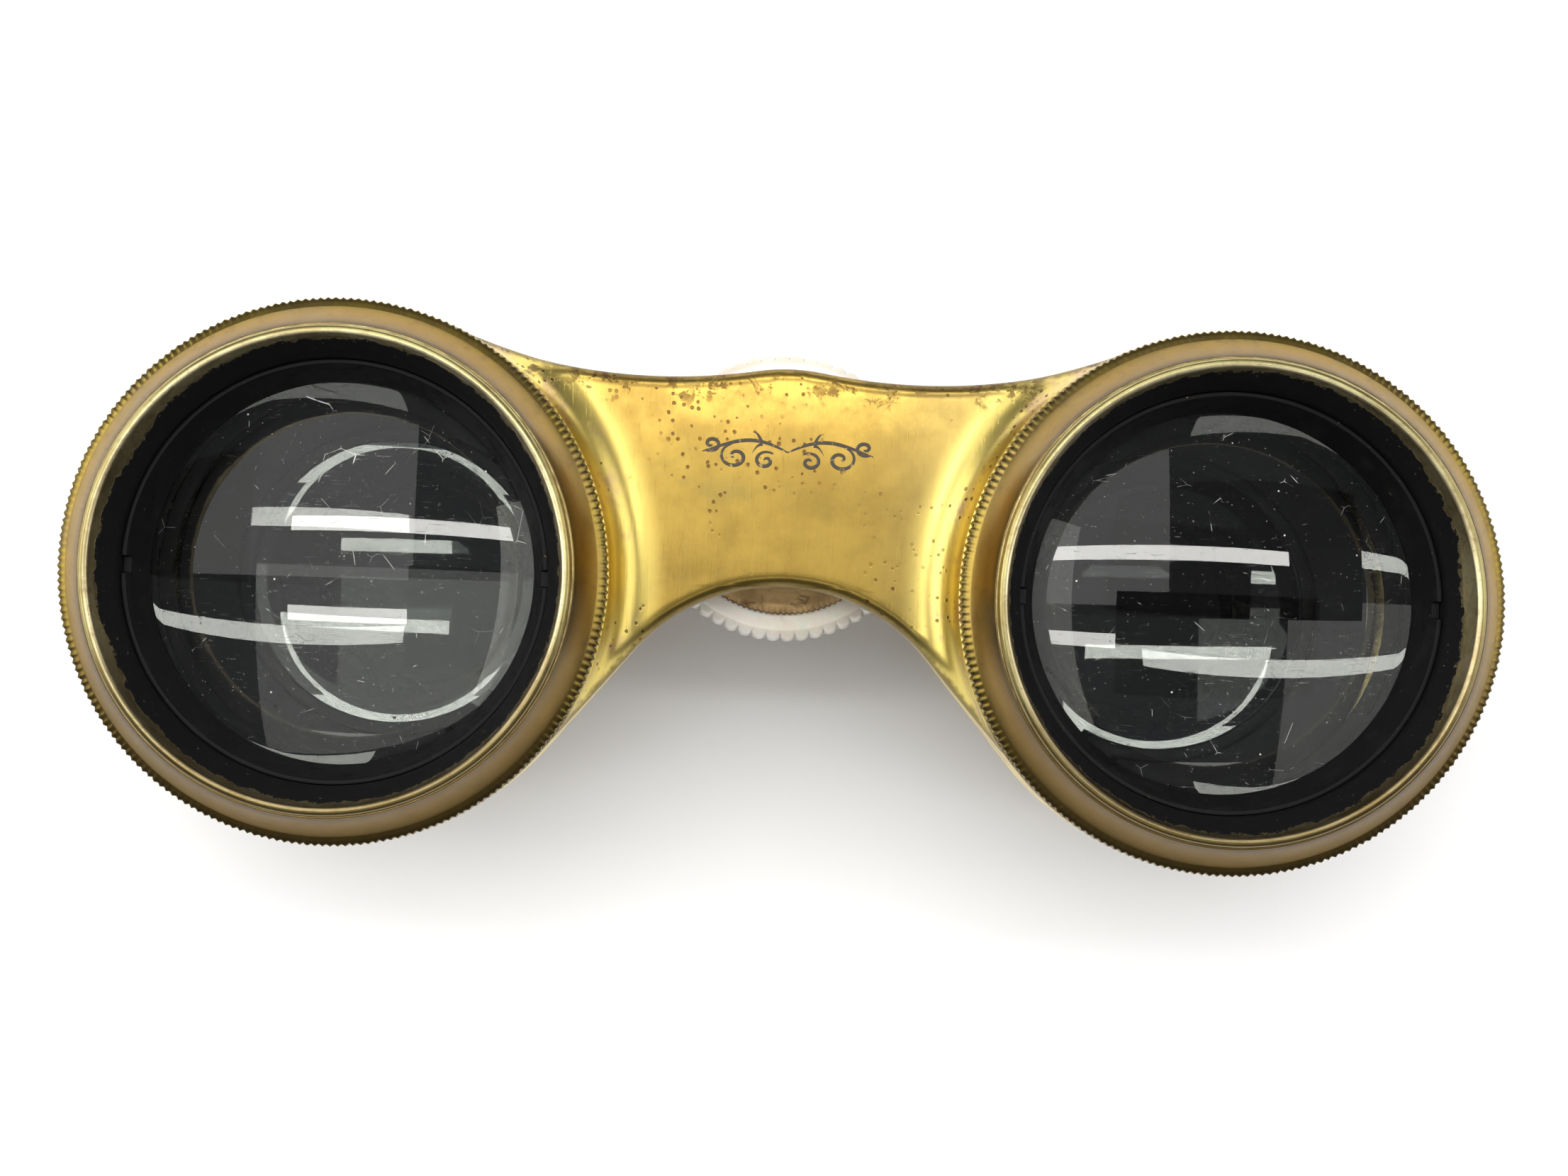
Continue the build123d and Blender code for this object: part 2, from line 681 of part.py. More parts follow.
def make_spindle():
    """Focusing spindle: shank in the ocular bridge, flange on top of it, and threaded rod."""
    flange = spindle_radius + spindle_flange
    flange_top = ocular_bridge_top + spindle_flange_height
    return turned(
        0, spindle_offset,
        (0, shank_z), (spindle_shank_radius, shank_z), (spindle_shank_radius, ocular_bridge_top),
        (flange, ocular_bridge_top), (flange, flange_top),
        (spindle_radius, flange_top), (spindle_radius, stop_z), (0, stop_z),
    )


def make_spindle_stop():
    """Slotted stop screw on the spindle's tip; it ends the travel on the hub's nut shoulder."""
    with BuildPart() as stop:
        with BuildSketch(Plane(origin=(0, spindle_offset, stop_z))):
            Circle(stop_radius)
        extrude(amount=stop_thickness)
        with BuildSketch(Plane(origin=(0, spindle_offset, stop_top_z))):
            Rectangle(3 * stop_radius, slot_width)
        extrude(amount=-stop_slot_depth, mode=Mode.SUBTRACT)
    return stop


def make_spindle_washer():
    """Washer under the ocular bridge."""
    bore = spindle_shank_radius + seat_fit
    return ring(0, spindle_offset, bore, cap_radius + washer_margin, cap_top_z, eyecup_height)


def make_spindle_cap():
    """Domed slotted cap nut that holds the spindle in the ocular bridge."""
    bore = spindle_shank_radius + seat_fit
    dome_z = cap_top_z - cap_skirt
    dome = sphere_radius(cap_radius, dome_z - cap_z)
    with BuildPart() as cap:
        with BuildSketch(upright_plane(0, spindle_offset)):
            with BuildLine():
                Polyline(
                    (0, cap_z), (0, shank_z), (bore, shank_z), (bore, cap_top_z),
                    (cap_radius, cap_top_z), (cap_radius, dome_z),
                )
                arc_about((0, cap_z + dome), (cap_radius, dome_z), (0, cap_z))
            make_face()
        revolve(axis=Axis((0, spindle_offset, 0), (0, 0, 1)))
        with BuildSketch(Plane(origin=(0, spindle_offset, cap_z))):
            Rectangle(3 * cap_radius, slot_width)
        extrude(amount=cap_slot_depth, mode=Mode.SUBTRACT)
    return cap


# ---------------------------------------------------------------- assembly
os.makedirs("parts", exist_ok=True)

save(make_front_bridge(), "front_bridge")
save(make_rear_bridge(), "rear_bridge")
save(make_front_bush(), "front_wheel_bush")
save(make_rear_bush(), "rear_wheel_bush")
save(make_wheel_hub(), "wheel_hub")
save(make_wheel_rim(), "wheel_pearl_rim")
save(make_wheel_disc(wheel_front_z), "wheel_front_disc")
save(make_wheel_disc(wheel_rear_z - disc_thickness), "wheel_rear_disc")
save(make_ocular_bridge(), "ocular_bridge")
save(make_spindle(), "focus_spindle")
save(make_spindle_stop(), "spindle_stop_screw")
save(make_spindle_washer(), "spindle_washer")
save(make_spindle_cap(), "spindle_cap_nut")

paired_pieces = {
    "barrel_tube": make_barrel_tube,
    "draw_tube_guide": make_guide_ring,
    "objective_bezel": make_bezel,
    "objective_cell": make_objective_cell,
    "objective_lens": make_objective_lens,
    "lens_retainer": make_lens_retainer,
    "draw_tube": make_draw_tube,
    "draw_tube_baffle": make_baffle,
    "eyecup": make_eyecup,
    "eyecup_inlay": make_eyecup_inlay,
    "ocular_cell": make_ocular_cell,
    "ocular_lens": make_ocular_lens,
    "ocular_retainer": make_ocular_retainer,
}
for side, axis_x in (("left", -half_spacing), ("right", half_spacing)):
    for piece_name, make_piece in paired_pieces.items():
        save(make_piece(axis_x), f"{side}_{piece_name}")
    for stave in range(stave_count):
        save(make_stave(axis_x, 360 * stave / stave_count), f"{side}_pearl_stave_{stave + 1}")
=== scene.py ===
"""Opera glasses with centre focusing: the looks of every piece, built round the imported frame.

Sizes here are in millimetres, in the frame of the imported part, and become metres when a mesh is
made. X runs from the left barrel to the right barrel, Y from the nose arch to the top of the
glasses, and Z from the eyecups to the objectives.
"""

import logging
import math
import random
from dataclasses import dataclass
from enum import Enum
from functools import lru_cache
from typing import Callable, Optional, Sequence, Union

import bmesh
import bpy
import numpy as np
from mathutils import Matrix, Vector


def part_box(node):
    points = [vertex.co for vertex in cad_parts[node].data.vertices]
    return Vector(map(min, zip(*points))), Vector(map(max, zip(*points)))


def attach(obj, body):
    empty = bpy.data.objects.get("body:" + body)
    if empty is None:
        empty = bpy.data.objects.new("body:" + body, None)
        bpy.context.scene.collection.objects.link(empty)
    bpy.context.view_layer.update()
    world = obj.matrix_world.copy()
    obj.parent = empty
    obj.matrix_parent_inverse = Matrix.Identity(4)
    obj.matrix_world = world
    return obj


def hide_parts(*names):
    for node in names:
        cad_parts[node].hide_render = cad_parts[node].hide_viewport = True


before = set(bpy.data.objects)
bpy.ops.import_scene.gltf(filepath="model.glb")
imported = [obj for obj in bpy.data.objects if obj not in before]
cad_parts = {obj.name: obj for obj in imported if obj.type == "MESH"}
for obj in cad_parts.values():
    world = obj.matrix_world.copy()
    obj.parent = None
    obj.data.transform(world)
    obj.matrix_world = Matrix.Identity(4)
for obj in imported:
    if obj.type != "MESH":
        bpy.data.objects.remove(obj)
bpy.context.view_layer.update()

MM = 0.001
Socket = bpy.types.NodeSocket
Value = Union[float, Socket]
Colour = tuple[float, float, float]
Point = Sequence[float]

log = logging.getLogger("opera_glasses")


class Side(Enum):
    """The two barrels."""

    LEFT = "left"
    RIGHT = "right"

    @property
    def outward(self) -> float:
        """-1 on the left side, +1 on the right side."""
        return -1.0 if self is Side.LEFT else 1.0


class Body(Enum):
    """The three bodies that move apart from each other."""

    EYEPIECES = "eyepiece_unit"
    BARRELS = "barrels"
    WHEEL = "focusing_wheel"


class Flute(Enum):
    """Cross-section of a cut edge."""

    VEE = "vee"
    LOBE = "lobe"


# ------------------------------------------------------------------------------------ measuring
@lru_cache(maxsize=None)
def box_mm(node: str) -> tuple[np.ndarray, np.ndarray]:
    """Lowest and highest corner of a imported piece.

    Args:
        node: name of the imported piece.

    Returns:
        The two corners in millimetres.
    """
    low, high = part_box(node)
    return np.array(low) / MM, np.array(high) / MM


def axis_of(node: str) -> tuple[float, float]:
    """Place of a round piece's upright axis.

    Args:
        node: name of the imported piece.

    Returns:
        Its x and y in millimetres.
    """
    low, high = box_mm(node)
    middle = (low + high) / 2
    return float(middle[0]), float(middle[1])


def levels(node: str) -> tuple[float, float]:
    """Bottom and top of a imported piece.

    Args:
        node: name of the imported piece.

    Returns:
        Lowest and highest z in millimetres.
    """
    low, high = box_mm(node)
    return float(low[2]), float(high[2])


# ------------------------------------------------------------------------------------ profiles
def rounded(points: Sequence[Point], corner: float = 0.12, steps: int = 4) -> np.ndarray:
    """Round the corners of a closed outline.

    Args:
        points: corners as (radius, z) or (radius, z, rounding).
        corner: rounding of the corners that name none.
        steps: points on each rounded corner.

    Returns:
        The outline as an array of (radius, z).
    """
    made = []
    count = len(points)
    for i, point in enumerate(points):
        here = np.array(point[:2], float)
        reach = point[2] if len(point) > 2 else corner
        back = np.array(points[i - 1][:2], float) - here
        ahead = np.array(points[(i + 1) % count][:2], float) - here
        room = 0.45 * min(np.hypot(*back), np.hypot(*ahead))
        reach = min(reach, room)
        if reach < 1e-4:
            made.append(here)
            continue
        first = here + back / np.hypot(*back) * reach
        last = here + ahead / np.hypot(*ahead) * reach
        for t in np.linspace(0, 1, steps):
            made.append((1 - t) ** 2 * first + 2 * t * (1 - t) * here + t**2 * last)
    return np.array(made)


def refined(outline: np.ndarray, longest: float, closed: bool = True) -> np.ndarray:
    """Put more points on the long stretches of an outline.

    Args:
        outline: array of (radius, z).
        longest: longest stretch to leave whole.
        closed: whether the last point joins the first.

    Returns:
        The outline with the added points.
    """
    made = []
    count = len(outline)
    for i in range(count if closed else count - 1):
        a, b = outline[i], outline[(i + 1) % count]
        cuts = max(1, int(np.ceil(np.hypot(*(b - a)) / longest)))
        made.extend(a + (b - a) * k / cuts for k in range(cuts))
    if not closed:
        made.append(outline[-1])
    return np.array(made)


def arc(centre: Point, radius: float, start: float, end: float, count: int) -> list[tuple[float, float]]:
    """Points along an arc.

    Args:
        centre: centre of the arc.
        radius: its radius.
        start: angle of the first point, degrees.
        end: angle of the last point, degrees.
        count: number of points.

    Returns:
        The points in order.
    """
    turns = np.radians(np.linspace(start, end, count))
    return [(centre[0] + radius * math.cos(t), centre[1] + radius * math.sin(t)) for t in turns]


def cap_depth(curve: float, radius: float) -> float:
    """Depth of a spherical cap of this curve out to this radius."""
    return curve - math.sqrt(curve**2 - radius**2)


# ------------------------------------------------------------------------------------ meshes
def build_mesh(
    name: str,
    points: np.ndarray,
    faces: Sequence[Sequence[int]],
    marks: Optional[dict[str, np.ndarray]] = None,
    crease: float = 40.0,
) -> bpy.types.Object:
    """Make a smooth-shaded object from points and faces.

    Args:
        name: name of the object.
        points: array of points in millimetres.
        faces: point numbers of each face.
        marks: values kept at every point, single or in threes, for its finish.
        crease: angle above which an edge stays sharp, degrees.

    Returns:
        The new object, in the scene.
    """
    mesh = bpy.data.meshes.new(name)
    mesh.from_pydata((points * MM).tolist(), [], faces)
    for mark, values in (marks or {}).items():
        wide = values.ndim == 2
        layer = mesh.attributes.new(mark, "FLOAT_VECTOR" if wide else "FLOAT", "POINT")
        layer.data.foreach_set("vector" if wide else "value", values.astype(np.float32).ravel())
    mesh.update()
    mesh.shade_smooth()
    mesh.set_sharp_from_angle(angle=math.radians(crease))
    made = bpy.data.objects.new(name, mesh)
    bpy.context.scene.collection.objects.link(made)
    return made


@dataclass
class Fluting:
    """Teeth or lobes cut all round the edge of a turned piece.

    The cut is full at radii above `full_radius` and dies out at `clear_radius`.
    """

    count: int
    depth: float
    clear_radius: float
    full_radius: float
    shape: Flute = Flute.VEE
    uneven: float = 0.0

    def cut(self, turns: np.ndarray, radius: float) -> np.ndarray:
        """Depth of the cut all round at one radius.

        Args:
            turns: angles round the piece, radians.
            radius: radius of the uncut piece there.

        Returns:
            The depth at each angle.
        """
        share = np.clip((radius - self.clear_radius) / (self.full_radius - self.clear_radius), 0, 1)
        phase = (turns * self.count / math.tau) % 1.0
        if self.shape is Flute.VEE:
            form = np.abs(2 * phase - 1) ** 0.85
        else:
            form = 1 - np.sqrt(np.clip(1 - (2 * np.abs(phase - 0.5)) ** 2 * 0.96, 0, 1))
        tooth = np.floor(turns * self.count / math.tau)
        wear = 1 - self.uneven * (0.5 + 0.5 * np.sin(tooth * 12.9898) * np.cos(tooth * 4.1414))
        return self.depth * share * form * wear


@dataclass
class Turning:
    """A turned piece: a closed outline of (radius, z) taken all round an upright axis."""

    name: str
    axis: tuple[float, float]
    outline: np.ndarray
    segments: int = 256
    fluting: Optional[Fluting] = None
    longest: float = 0.8
    crease: float = 40.0
    shift: Optional[Callable[[np.ndarray, np.ndarray], tuple[np.ndarray, np.ndarray]]] = None
    paint_loss: Optional[Callable[[np.ndarray], np.ndarray]] = None

    def make(self) -> bpy.types.Object:
        """Build the mesh.

        Every point is marked with its radius, z and distance along the outline ("lay"), with how
        far it is inside the painted stretch that starts at the outline's first point ("paint"),
        and with 1 where the surface faces the axis ("inner").

        Returns:
            The new object.
        """
        outline = refined(self.outline, self.longest)
        steps = np.hypot(*(np.roll(outline, -1, 0) - outline).T)
        along = np.concatenate([[0], np.cumsum(steps)[:-1]])
        total = float(steps.sum())
        inside = np.where(along < total / 2, along, along - total)
        turns = np.linspace(0, math.tau, self.segments, endpoint=False)
        radii, turn_grid = np.meshgrid(outline[:, 0], turns, indexing="ij")
        heights = np.repeat(outline[:, 1][:, None], self.segments, 1)
        if self.fluting:
            cuts = [self.fluting.cut(turns, r) for r in outline[:, 0]]
            radii = radii - np.array(cuts)
        if self.shift:
            radii, heights = self.shift(radii, heights)
        marks_paint = np.repeat(inside[:, None], self.segments, 1)
        if self.paint_loss:
            marks_paint = marks_paint - self.paint_loss(turns)[None, :]
        points = np.stack(
            [
                self.axis[0] + radii * np.cos(turn_grid), self.axis[1] + radii * np.sin(turn_grid), heights
            ], -1
        ).reshape(-1, 3)
        lay = np.stack([radii, heights, np.repeat(along[:, None], self.segments, 1)], -1).reshape(-1, 3)
        rows, columns = len(outline), self.segments
        i, j = np.meshgrid(np.arange(rows), np.arange(columns), indexing="ij")
        up, round_ = (i + 1) % rows, (j + 1) % columns
        faces = np.stack(
            [i * columns + j, i * columns + round_, up * columns + round_, up * columns + j], -1
        ).reshape(-1, 4)
        run = np.roll(outline, -1, 0) - np.roll(outline, 1, 0)
        area = 0.5 * np.sum(
            outline[:, 0] * np.roll(outline[:, 1], -1) - np.roll(outline[:, 0], -1) * outline[:, 1]
        )
        if area < 0:
            faces = faces[:, ::-1]
        towards_axis = run[:, 1] * math.copysign(1.0, area) < -0.7 * np.hypot(run[:, 0], run[:, 1])
        inner = np.repeat(towards_axis.astype(float)[:, None], self.segments, 1)
        marks = {"lay": lay, "paint": marks_paint.ravel(), "inner": inner.ravel()}
        made = build_mesh(self.name, points, faces.tolist(), marks, self.crease)
        if outline[:, 0].min() < 1e-6:
            weld(made)
        return made


def weld(piece: bpy.types.Object, reach: float = 0.0005) -> None:
    """Join the points of a mesh that lie together.

    Args:
        piece: the object to clean.
        reach: how close the points are, millimetres.
    """
    work = bmesh.new()
    work.from_mesh(piece.data)
    bmesh.ops.remove_doubles(work, verts=work.verts, dist=reach * MM)
    bmesh.ops.dissolve_degenerate(work, edges=work.edges, dist=reach * MM)
    work.to_mesh(piece.data)
    work.free()
    piece.data.update()


def fit(
    piece: bpy.types.Object,
    body: Body,
    finish: bpy.types.Material,
    stands_for: Sequence[str] = (),
) -> bpy.types.Object:
    """Give a piece its finish and let it move with its body.

    Args:
        piece: the finished mesh, in place.
        body: the body it moves with.
        finish: its material.
        stands_for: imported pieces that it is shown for.

    Returns:
        The same piece.
    """
    piece.data.materials.clear()
    piece.data.materials.append(finish)
    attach(piece, body.value)
    if stands_for:
        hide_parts(*stands_for)
    log.info("%s: %d points on %s", piece.name, len(piece.data.vertices), body.value)
    return piece


def dress(node: str, finish: bpy.types.Material) -> None:
    """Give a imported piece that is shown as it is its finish.

    Args:
        node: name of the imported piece.
        finish: its material.
    """
    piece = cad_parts[node]
    piece.data.materials.clear()
    piece.data.materials.append(finish)
    log.info("%s: kept as packed", node)


# ------------------------------------------------------------------------------------ finishes
class Recipe:
    """The nodes of one finish, in the steps a finisher would name. Lengths are millimetres."""

    def __init__(self, name: str) -> None:
        """Start an empty recipe.

        Args:
            name: name of the material.
        """
        self.material = bpy.data.materials.new(name)
        self.material.use_nodes = True
        self.tree = self.material.node_tree
        self.tree.nodes.clear()
        place = self._node("ShaderNodeTexCoord").outputs["Object"]
        self.place = self.vector("MULTIPLY", place, (1 / MM,) * 3)

    def _node(self, kind: str, **settings: object) -> bpy.types.Node:
        """Add a node.

        Args:
            kind: type of the node.
            settings: its properties.

        Returns:
            The node.
        """
        made = self.tree.nodes.new(kind)
        for key, value in settings.items():
            setattr(made, key, value)
        return made

    def _feed(self, socket: Socket, value: object) -> None:
        """Link a socket into an input, or set a plain value on it."""
        if isinstance(value, bpy.types.NodeSocket):
            self.tree.links.new(value, socket)
        elif isinstance(value, (tuple, list)) and len(value) == 3 and socket.type == "RGBA":
            socket.default_value = (*value, 1.0)
        else:
            socket.default_value = value

    def vector(self, operation: str, a: object, b: object) -> Socket:
        """Vector arithmetic.

        Args:
            operation: name of the operation.
            a: first vector.
            b: second vector.

        Returns:
            The result.
        """
        made = self._node("ShaderNodeVectorMath", operation=operation)
        self._feed(made.inputs[0], a)
        self._feed(made.inputs[1], b)
        return made.outputs[0]

    def stretched(self, x: float, y: float, z: float) -> Socket:
        """Place of a point with each direction scaled apart."""
        return self.vector("MULTIPLY", self.place, (x, y, z))

    def sum(self, operation: str, a: Value, b: Value = 0.0, c: Value = 0.0) -> Socket:
        """Arithmetic on numbers.

        Args:
            operation: name of the operation.
            a: first number.
            b: second number.
            c: third number, where the operation has one.

        Returns:
            The result.
        """
        made = self._node("ShaderNodeMath", operation=operation)
        for socket, value in zip(made.inputs, (a, b, c)):
            self._feed(socket, value)
        return made.outputs[0]

    def either(self, a: Value, b: Value) -> Socket:
        """The larger of two masks."""
        return self.sum("MAXIMUM", a, b)

    def both(self, a: Value, b: Value) -> Socket:
        """The product of two masks."""
        return self.sum("MULTIPLY", a, b)

    def cloud(
        self,
        per_mm: float,
        detail: float = 3.0,
        rough: float = 0.55,
        at: Optional[Socket] = None,
        swirl: float = 0.0,
    ) -> Socket:
        """Soft noise from 0 to 1.

        Args:
            per_mm: how many blotches fit in a millimetre.
            detail: finer layers added.
            rough: strength of the finer layers.
            at: coordinates, or the place of the point.
            swirl: distortion.

        Returns:
            The noise.
        """
        made = self._node("ShaderNodeTexNoise")
        self._feed(made.inputs["Vector"], at or self.place)
        for key, value in (
            ("Scale", per_mm), ("Detail", detail), ("Roughness", rough), ("Distortion", swirl)
        ):
            made.inputs[key].default_value = value
        return made.outputs["Fac"]

    def cells(self, per_mm: float, at: Optional[Socket] = None, feature: str = "F1") -> Socket:
        """Distance to scattered points, in cells.

        Args:
            per_mm: how many cells fit in a millimetre.
            at: coordinates, or the place of the point.
            feature: which distance.

        Returns:
            The distance.
        """
        made = self._node("ShaderNodeTexVoronoi", feature=feature)
        self._feed(made.inputs["Vector"], at or self.place)
        made.inputs["Scale"].default_value = per_mm
        return made.outputs["Distance"]

    def rise(self, value: Value, low: float, high: float) -> Socket:
        """0 below one number and 1 above another, smooth between; the other way where low is above high.

        Args:
            value: the number.
            low: where the result is 0.
            high: where the result is 1.

        Returns:
            The share from 0 to 1.
        """
        made = self._node("ShaderNodeMapRange", interpolation_type="SMOOTHSTEP", clamp=True)
        self._feed(made.inputs["Value"], value)
        falling = low > high
        made.inputs["From Min"].default_value = min(low, high)
        made.inputs["From Max"].default_value = max(low, high)
        made.inputs["To Min"].default_value = 1.0 if falling else 0.0
        made.inputs["To Max"].default_value = 0.0 if falling else 1.0
        return made.outputs["Result"]

    def tint(self, share: Value, under: object, over: object) -> Socket:
        """Lay one colour over another.

        Args:
            share: how much of the upper colour shows.
            under: lower colour.
            over: upper colour.

        Returns:
            The colour.
        """
        made = self._node("ShaderNodeMix", data_type="RGBA")
        self._feed(made.inputs["Factor"], share)
        self._feed(made.inputs["A"] if made.inputs["A"].type == "RGBA" else made.inputs[6], under)
        self._feed(made.inputs["B"] if made.inputs["B"].type == "RGBA" else made.inputs[7], over)
        return made.outputs[2]

    def bands(self, value: Value, stops: Sequence[tuple[float, Colour]]) -> Socket:
        """Colour that changes along a number.

        Args:
            value: the number.
            stops: places on it, in rising order, and their colours.

        Returns:
            The colour.
        """
        low, high = stops[0][0], stops[-1][0]
        scale = self._node("ShaderNodeMapRange", clamp=True)
        self._feed(scale.inputs["Value"], value)
        scale.inputs["From Min"].default_value = low
        scale.inputs["From Max"].default_value = high
        ramp = self._node("ShaderNodeValToRGB")
        self.tree.links.new(scale.outputs["Result"], ramp.inputs["Fac"])
        elements = ramp.color_ramp.elements
        while len(elements) > 1:
            elements.remove(elements[-1])
        elements[0].position = 0.0
        elements[0].color = (*stops[0][1], 1.0)
        for at, colour in stops[1:]:
            made = elements.new((at - low) / (high - low))
            made.color = (*colour, 1.0)
        return ramp.outputs["Color"]

    def along(self, axis: int) -> Socket:
        """Place of a point along X, Y or Z, counted from 0."""
        parts = self._node("ShaderNodeSeparateXYZ")
        self.tree.links.new(self.place, parts.inputs[0])
        return parts.outputs[axis]

    def mark(self, name: str) -> Socket:
        """A number kept at every point of the mesh."""
        return self._node("ShaderNodeAttribute", attribute_name=name).outputs["Fac"]

    def lay(self) -> tuple[Socket, Socket, Socket]:
        """Radius, z and distance along the outline of a turned piece."""
        kept = self._node("ShaderNodeAttribute", attribute_name="lay")
        parts = self._node("ShaderNodeSeparateXYZ")
        self.tree.links.new(kept.outputs["Vector"], parts.inputs[0])
        return parts.outputs[0], parts.outputs[1], parts.outputs[2]

    def rings(self, per_mm: float, detail: float = 3.0) -> Socket:
        """Fine turning marks that run round a turned piece."""
        radius, height, _ = self.lay()
        made = self._node("ShaderNodeCombineXYZ")
        for socket, value in zip(made.inputs, (radius, height, 0.0)):
            self._feed(socket, value)
        return self.cloud(per_mm, detail, 0.65, made.outputs[0])

    def relief(self, height: Socket, depth: float, under: Optional[Socket] = None) -> Socket:
        """Small relief in the surface.

        Args:
            height: the relief from 0 to 1.
            depth: its depth.
            under: relief that it lies on.

        Returns:
            The normal.
        """
        made = self._node("ShaderNodeBump")
        made.inputs["Strength"].default_value = 1.0
        made.inputs["Distance"].default_value = depth * MM
        self._feed(made.inputs["Height"], height)
        if under is not None:
            self._feed(made.inputs["Normal"], under)
        return made.outputs["Normal"]

    def surface(self, **inputs: object) -> bpy.types.Material:
        """Finish the recipe with its surface.

        Args:
            inputs: the surface's inputs, spaces written as underscores.

        Returns:
            The material.
        """
        shader = self._node("ShaderNodeBsdfPrincipled")
        for key, value in inputs.items():
            self._feed(shader.inputs[key.replace("_", " ")], value)
        output = self._node("ShaderNodeOutputMaterial")
        self.tree.links.new(shader.outputs[0], output.inputs["Surface"])
        return self.material


@dataclass(frozen=True)
class AgedBrass:
    """Golden brass of the bridges: fine brushing, brown and olive tarnish, clusters of dark spots, darker lower
    down and to the right partly from painted shade, and a painted highlight on the flares.
    """

    name: str = "aged_golden_brass"
    bright: Colour = (0.60, 0.405, 0.090)
    deep: Colour = (0.36, 0.235, 0.055)
    olive: Colour = (0.30, 0.24, 0.08)
    # Dark brass laid lower down the saddle: partly tarnish, partly painted shade.
    worn: Colour = (0.17, 0.115, 0.026)
    brown: Colour = (0.11, 0.052, 0.022)
    rose: Colour = (0.50, 0.30, 0.22)
    # Bright yellow laid on the flares beside the collars: a painted highlight.
    rubbed_and_painted_highlight: Colour = (0.96, 0.78, 0.22)
    edge_width: float = 0.55

    def material(self) -> bpy.types.Material:
        """Make the material.

        Returns:
            The material.
        """
        r = Recipe(self.name)
        edge = r.mark("edge")
        brushing = r.cloud(1.0, 2.0, 0.6, r.stretched(7.0, 0.22, 1.0))
        broad = r.cloud(0.15, 6.0, 0.68)
        base = r.tint(r.rise(broad, 0.36, 0.66), self.bright, self.deep)
        khaki = r.rise(r.cloud(0.16, 4.0, 0.6, r.stretched(1.0, 1.4, 1.0), 0.4), 0.54, 0.74)
        base = r.tint(r.both(khaki, 0.60), base, self.olive)
        across, up = r.along(0), r.along(1)
        # Darker lower down the saddle, towards the nose arch: partly tarnish, partly painted shade.
        base = r.tint(
            r.both(r.rise(r.sum("ADD", up, r.both(broad, 5.0)), 17.5, 9.0), 0.62), base, self.worn
        )
        # Duller olive towards the right of the saddle: partly tarnish, partly painted shade.
        base = r.tint(r.both(r.rise(across, 4.0, 13.0), 0.26), base, (0.30, 0.27, 0.14))
        base = r.tint(r.both(r.rise(brushing, 0.5, 0.72), 0.16), base, self.olive)
        # Bright yellow on the flares that face the middle: a painted highlight.
        inner_side = r.rise(r.sum("ABSOLUTE", across), 29.0, 23.0)
        base = r.tint(
            r.both(r.both(r.rise(r.mark("flare"), 4.2, 1.0), inner_side), 0.75), base, self.rubbed_and_painted_highlight
        )
        rosy = r.both(r.rise(r.cloud(0.35, 3.0, 0.6), 0.5, 0.68), r.rise(r.mark("flare"), 2.8, 0.4))
        base = r.tint(r.both(rosy, 0.6), base, self.rose)
        patches = r.rise(r.cloud(0.5, 6.0, 0.66, None, 0.6), 0.56, 0.63)
        near_edge = r.both(r.rise(edge, 3.4, 0.7), r.rise(up, 9.0, 14.0))
        crust = r.sum("ADD", r.cloud(0.8, 6.0, 0.7), r.both(r.rise(edge, 2.4, 0.4), 0.13))
        crust = r.both(r.rise(crust, 0.62, 0.68), r.rise(r.cloud(0.14, 2.0), 0.47, 0.58))
        patches = r.both(r.both(r.either(patches, crust), near_edge), 0.72)
        spots = r.rise(r.sum("ADD", r.cells(1.5), r.both(r.cloud(3.0, 3.0), 0.2)), 0.36, 0.24)
        clusters = r.rise(
            r.sum("ADD", r.cloud(0.17, 2.0, 0.5), r.both(r.rise(up, 6.0, 15.0), 0.10)), 0.50, 0.60
        )
        spots = r.both(spots, clusters)
        grime = r.sum("ADD", edge, r.both(r.sum("SUBTRACT", r.cloud(1.4, 3.0), 0.5), 0.7))
        rim = r.rise(grime, self.edge_width, 0.08)
        base = r.tint(r.both(rim, 0.80), base, (0.16, 0.115, 0.035))
        base = r.tint(r.either(patches, r.both(spots, 0.85)), base, self.brown)
        scratches = r.rise(r.cloud(1.0, 1.0, 0.5, r.stretched(14.0, 0.5, 2.0)), 0.66, 0.74)
        rough = r.sum("ADD", 0.24, r.both(broad, 0.12))
        rough = r.sum("ADD", rough, r.both(r.either(patches, r.both(rim, 0.6)), 0.22))
        fine = r.sum("ADD", brushing, r.both(scratches, 0.6))
        normal = r.relief(fine, 0.006)
        normal = r.relief(r.cloud(0.9, 4.0, 0.6), 0.005, normal)
        normal = r.relief(r.both(r.either(spots, patches), -1.0), 0.012, normal)
        return r.surface(Base_Color=base, Metallic=1.0, Roughness=rough, Normal=normal)


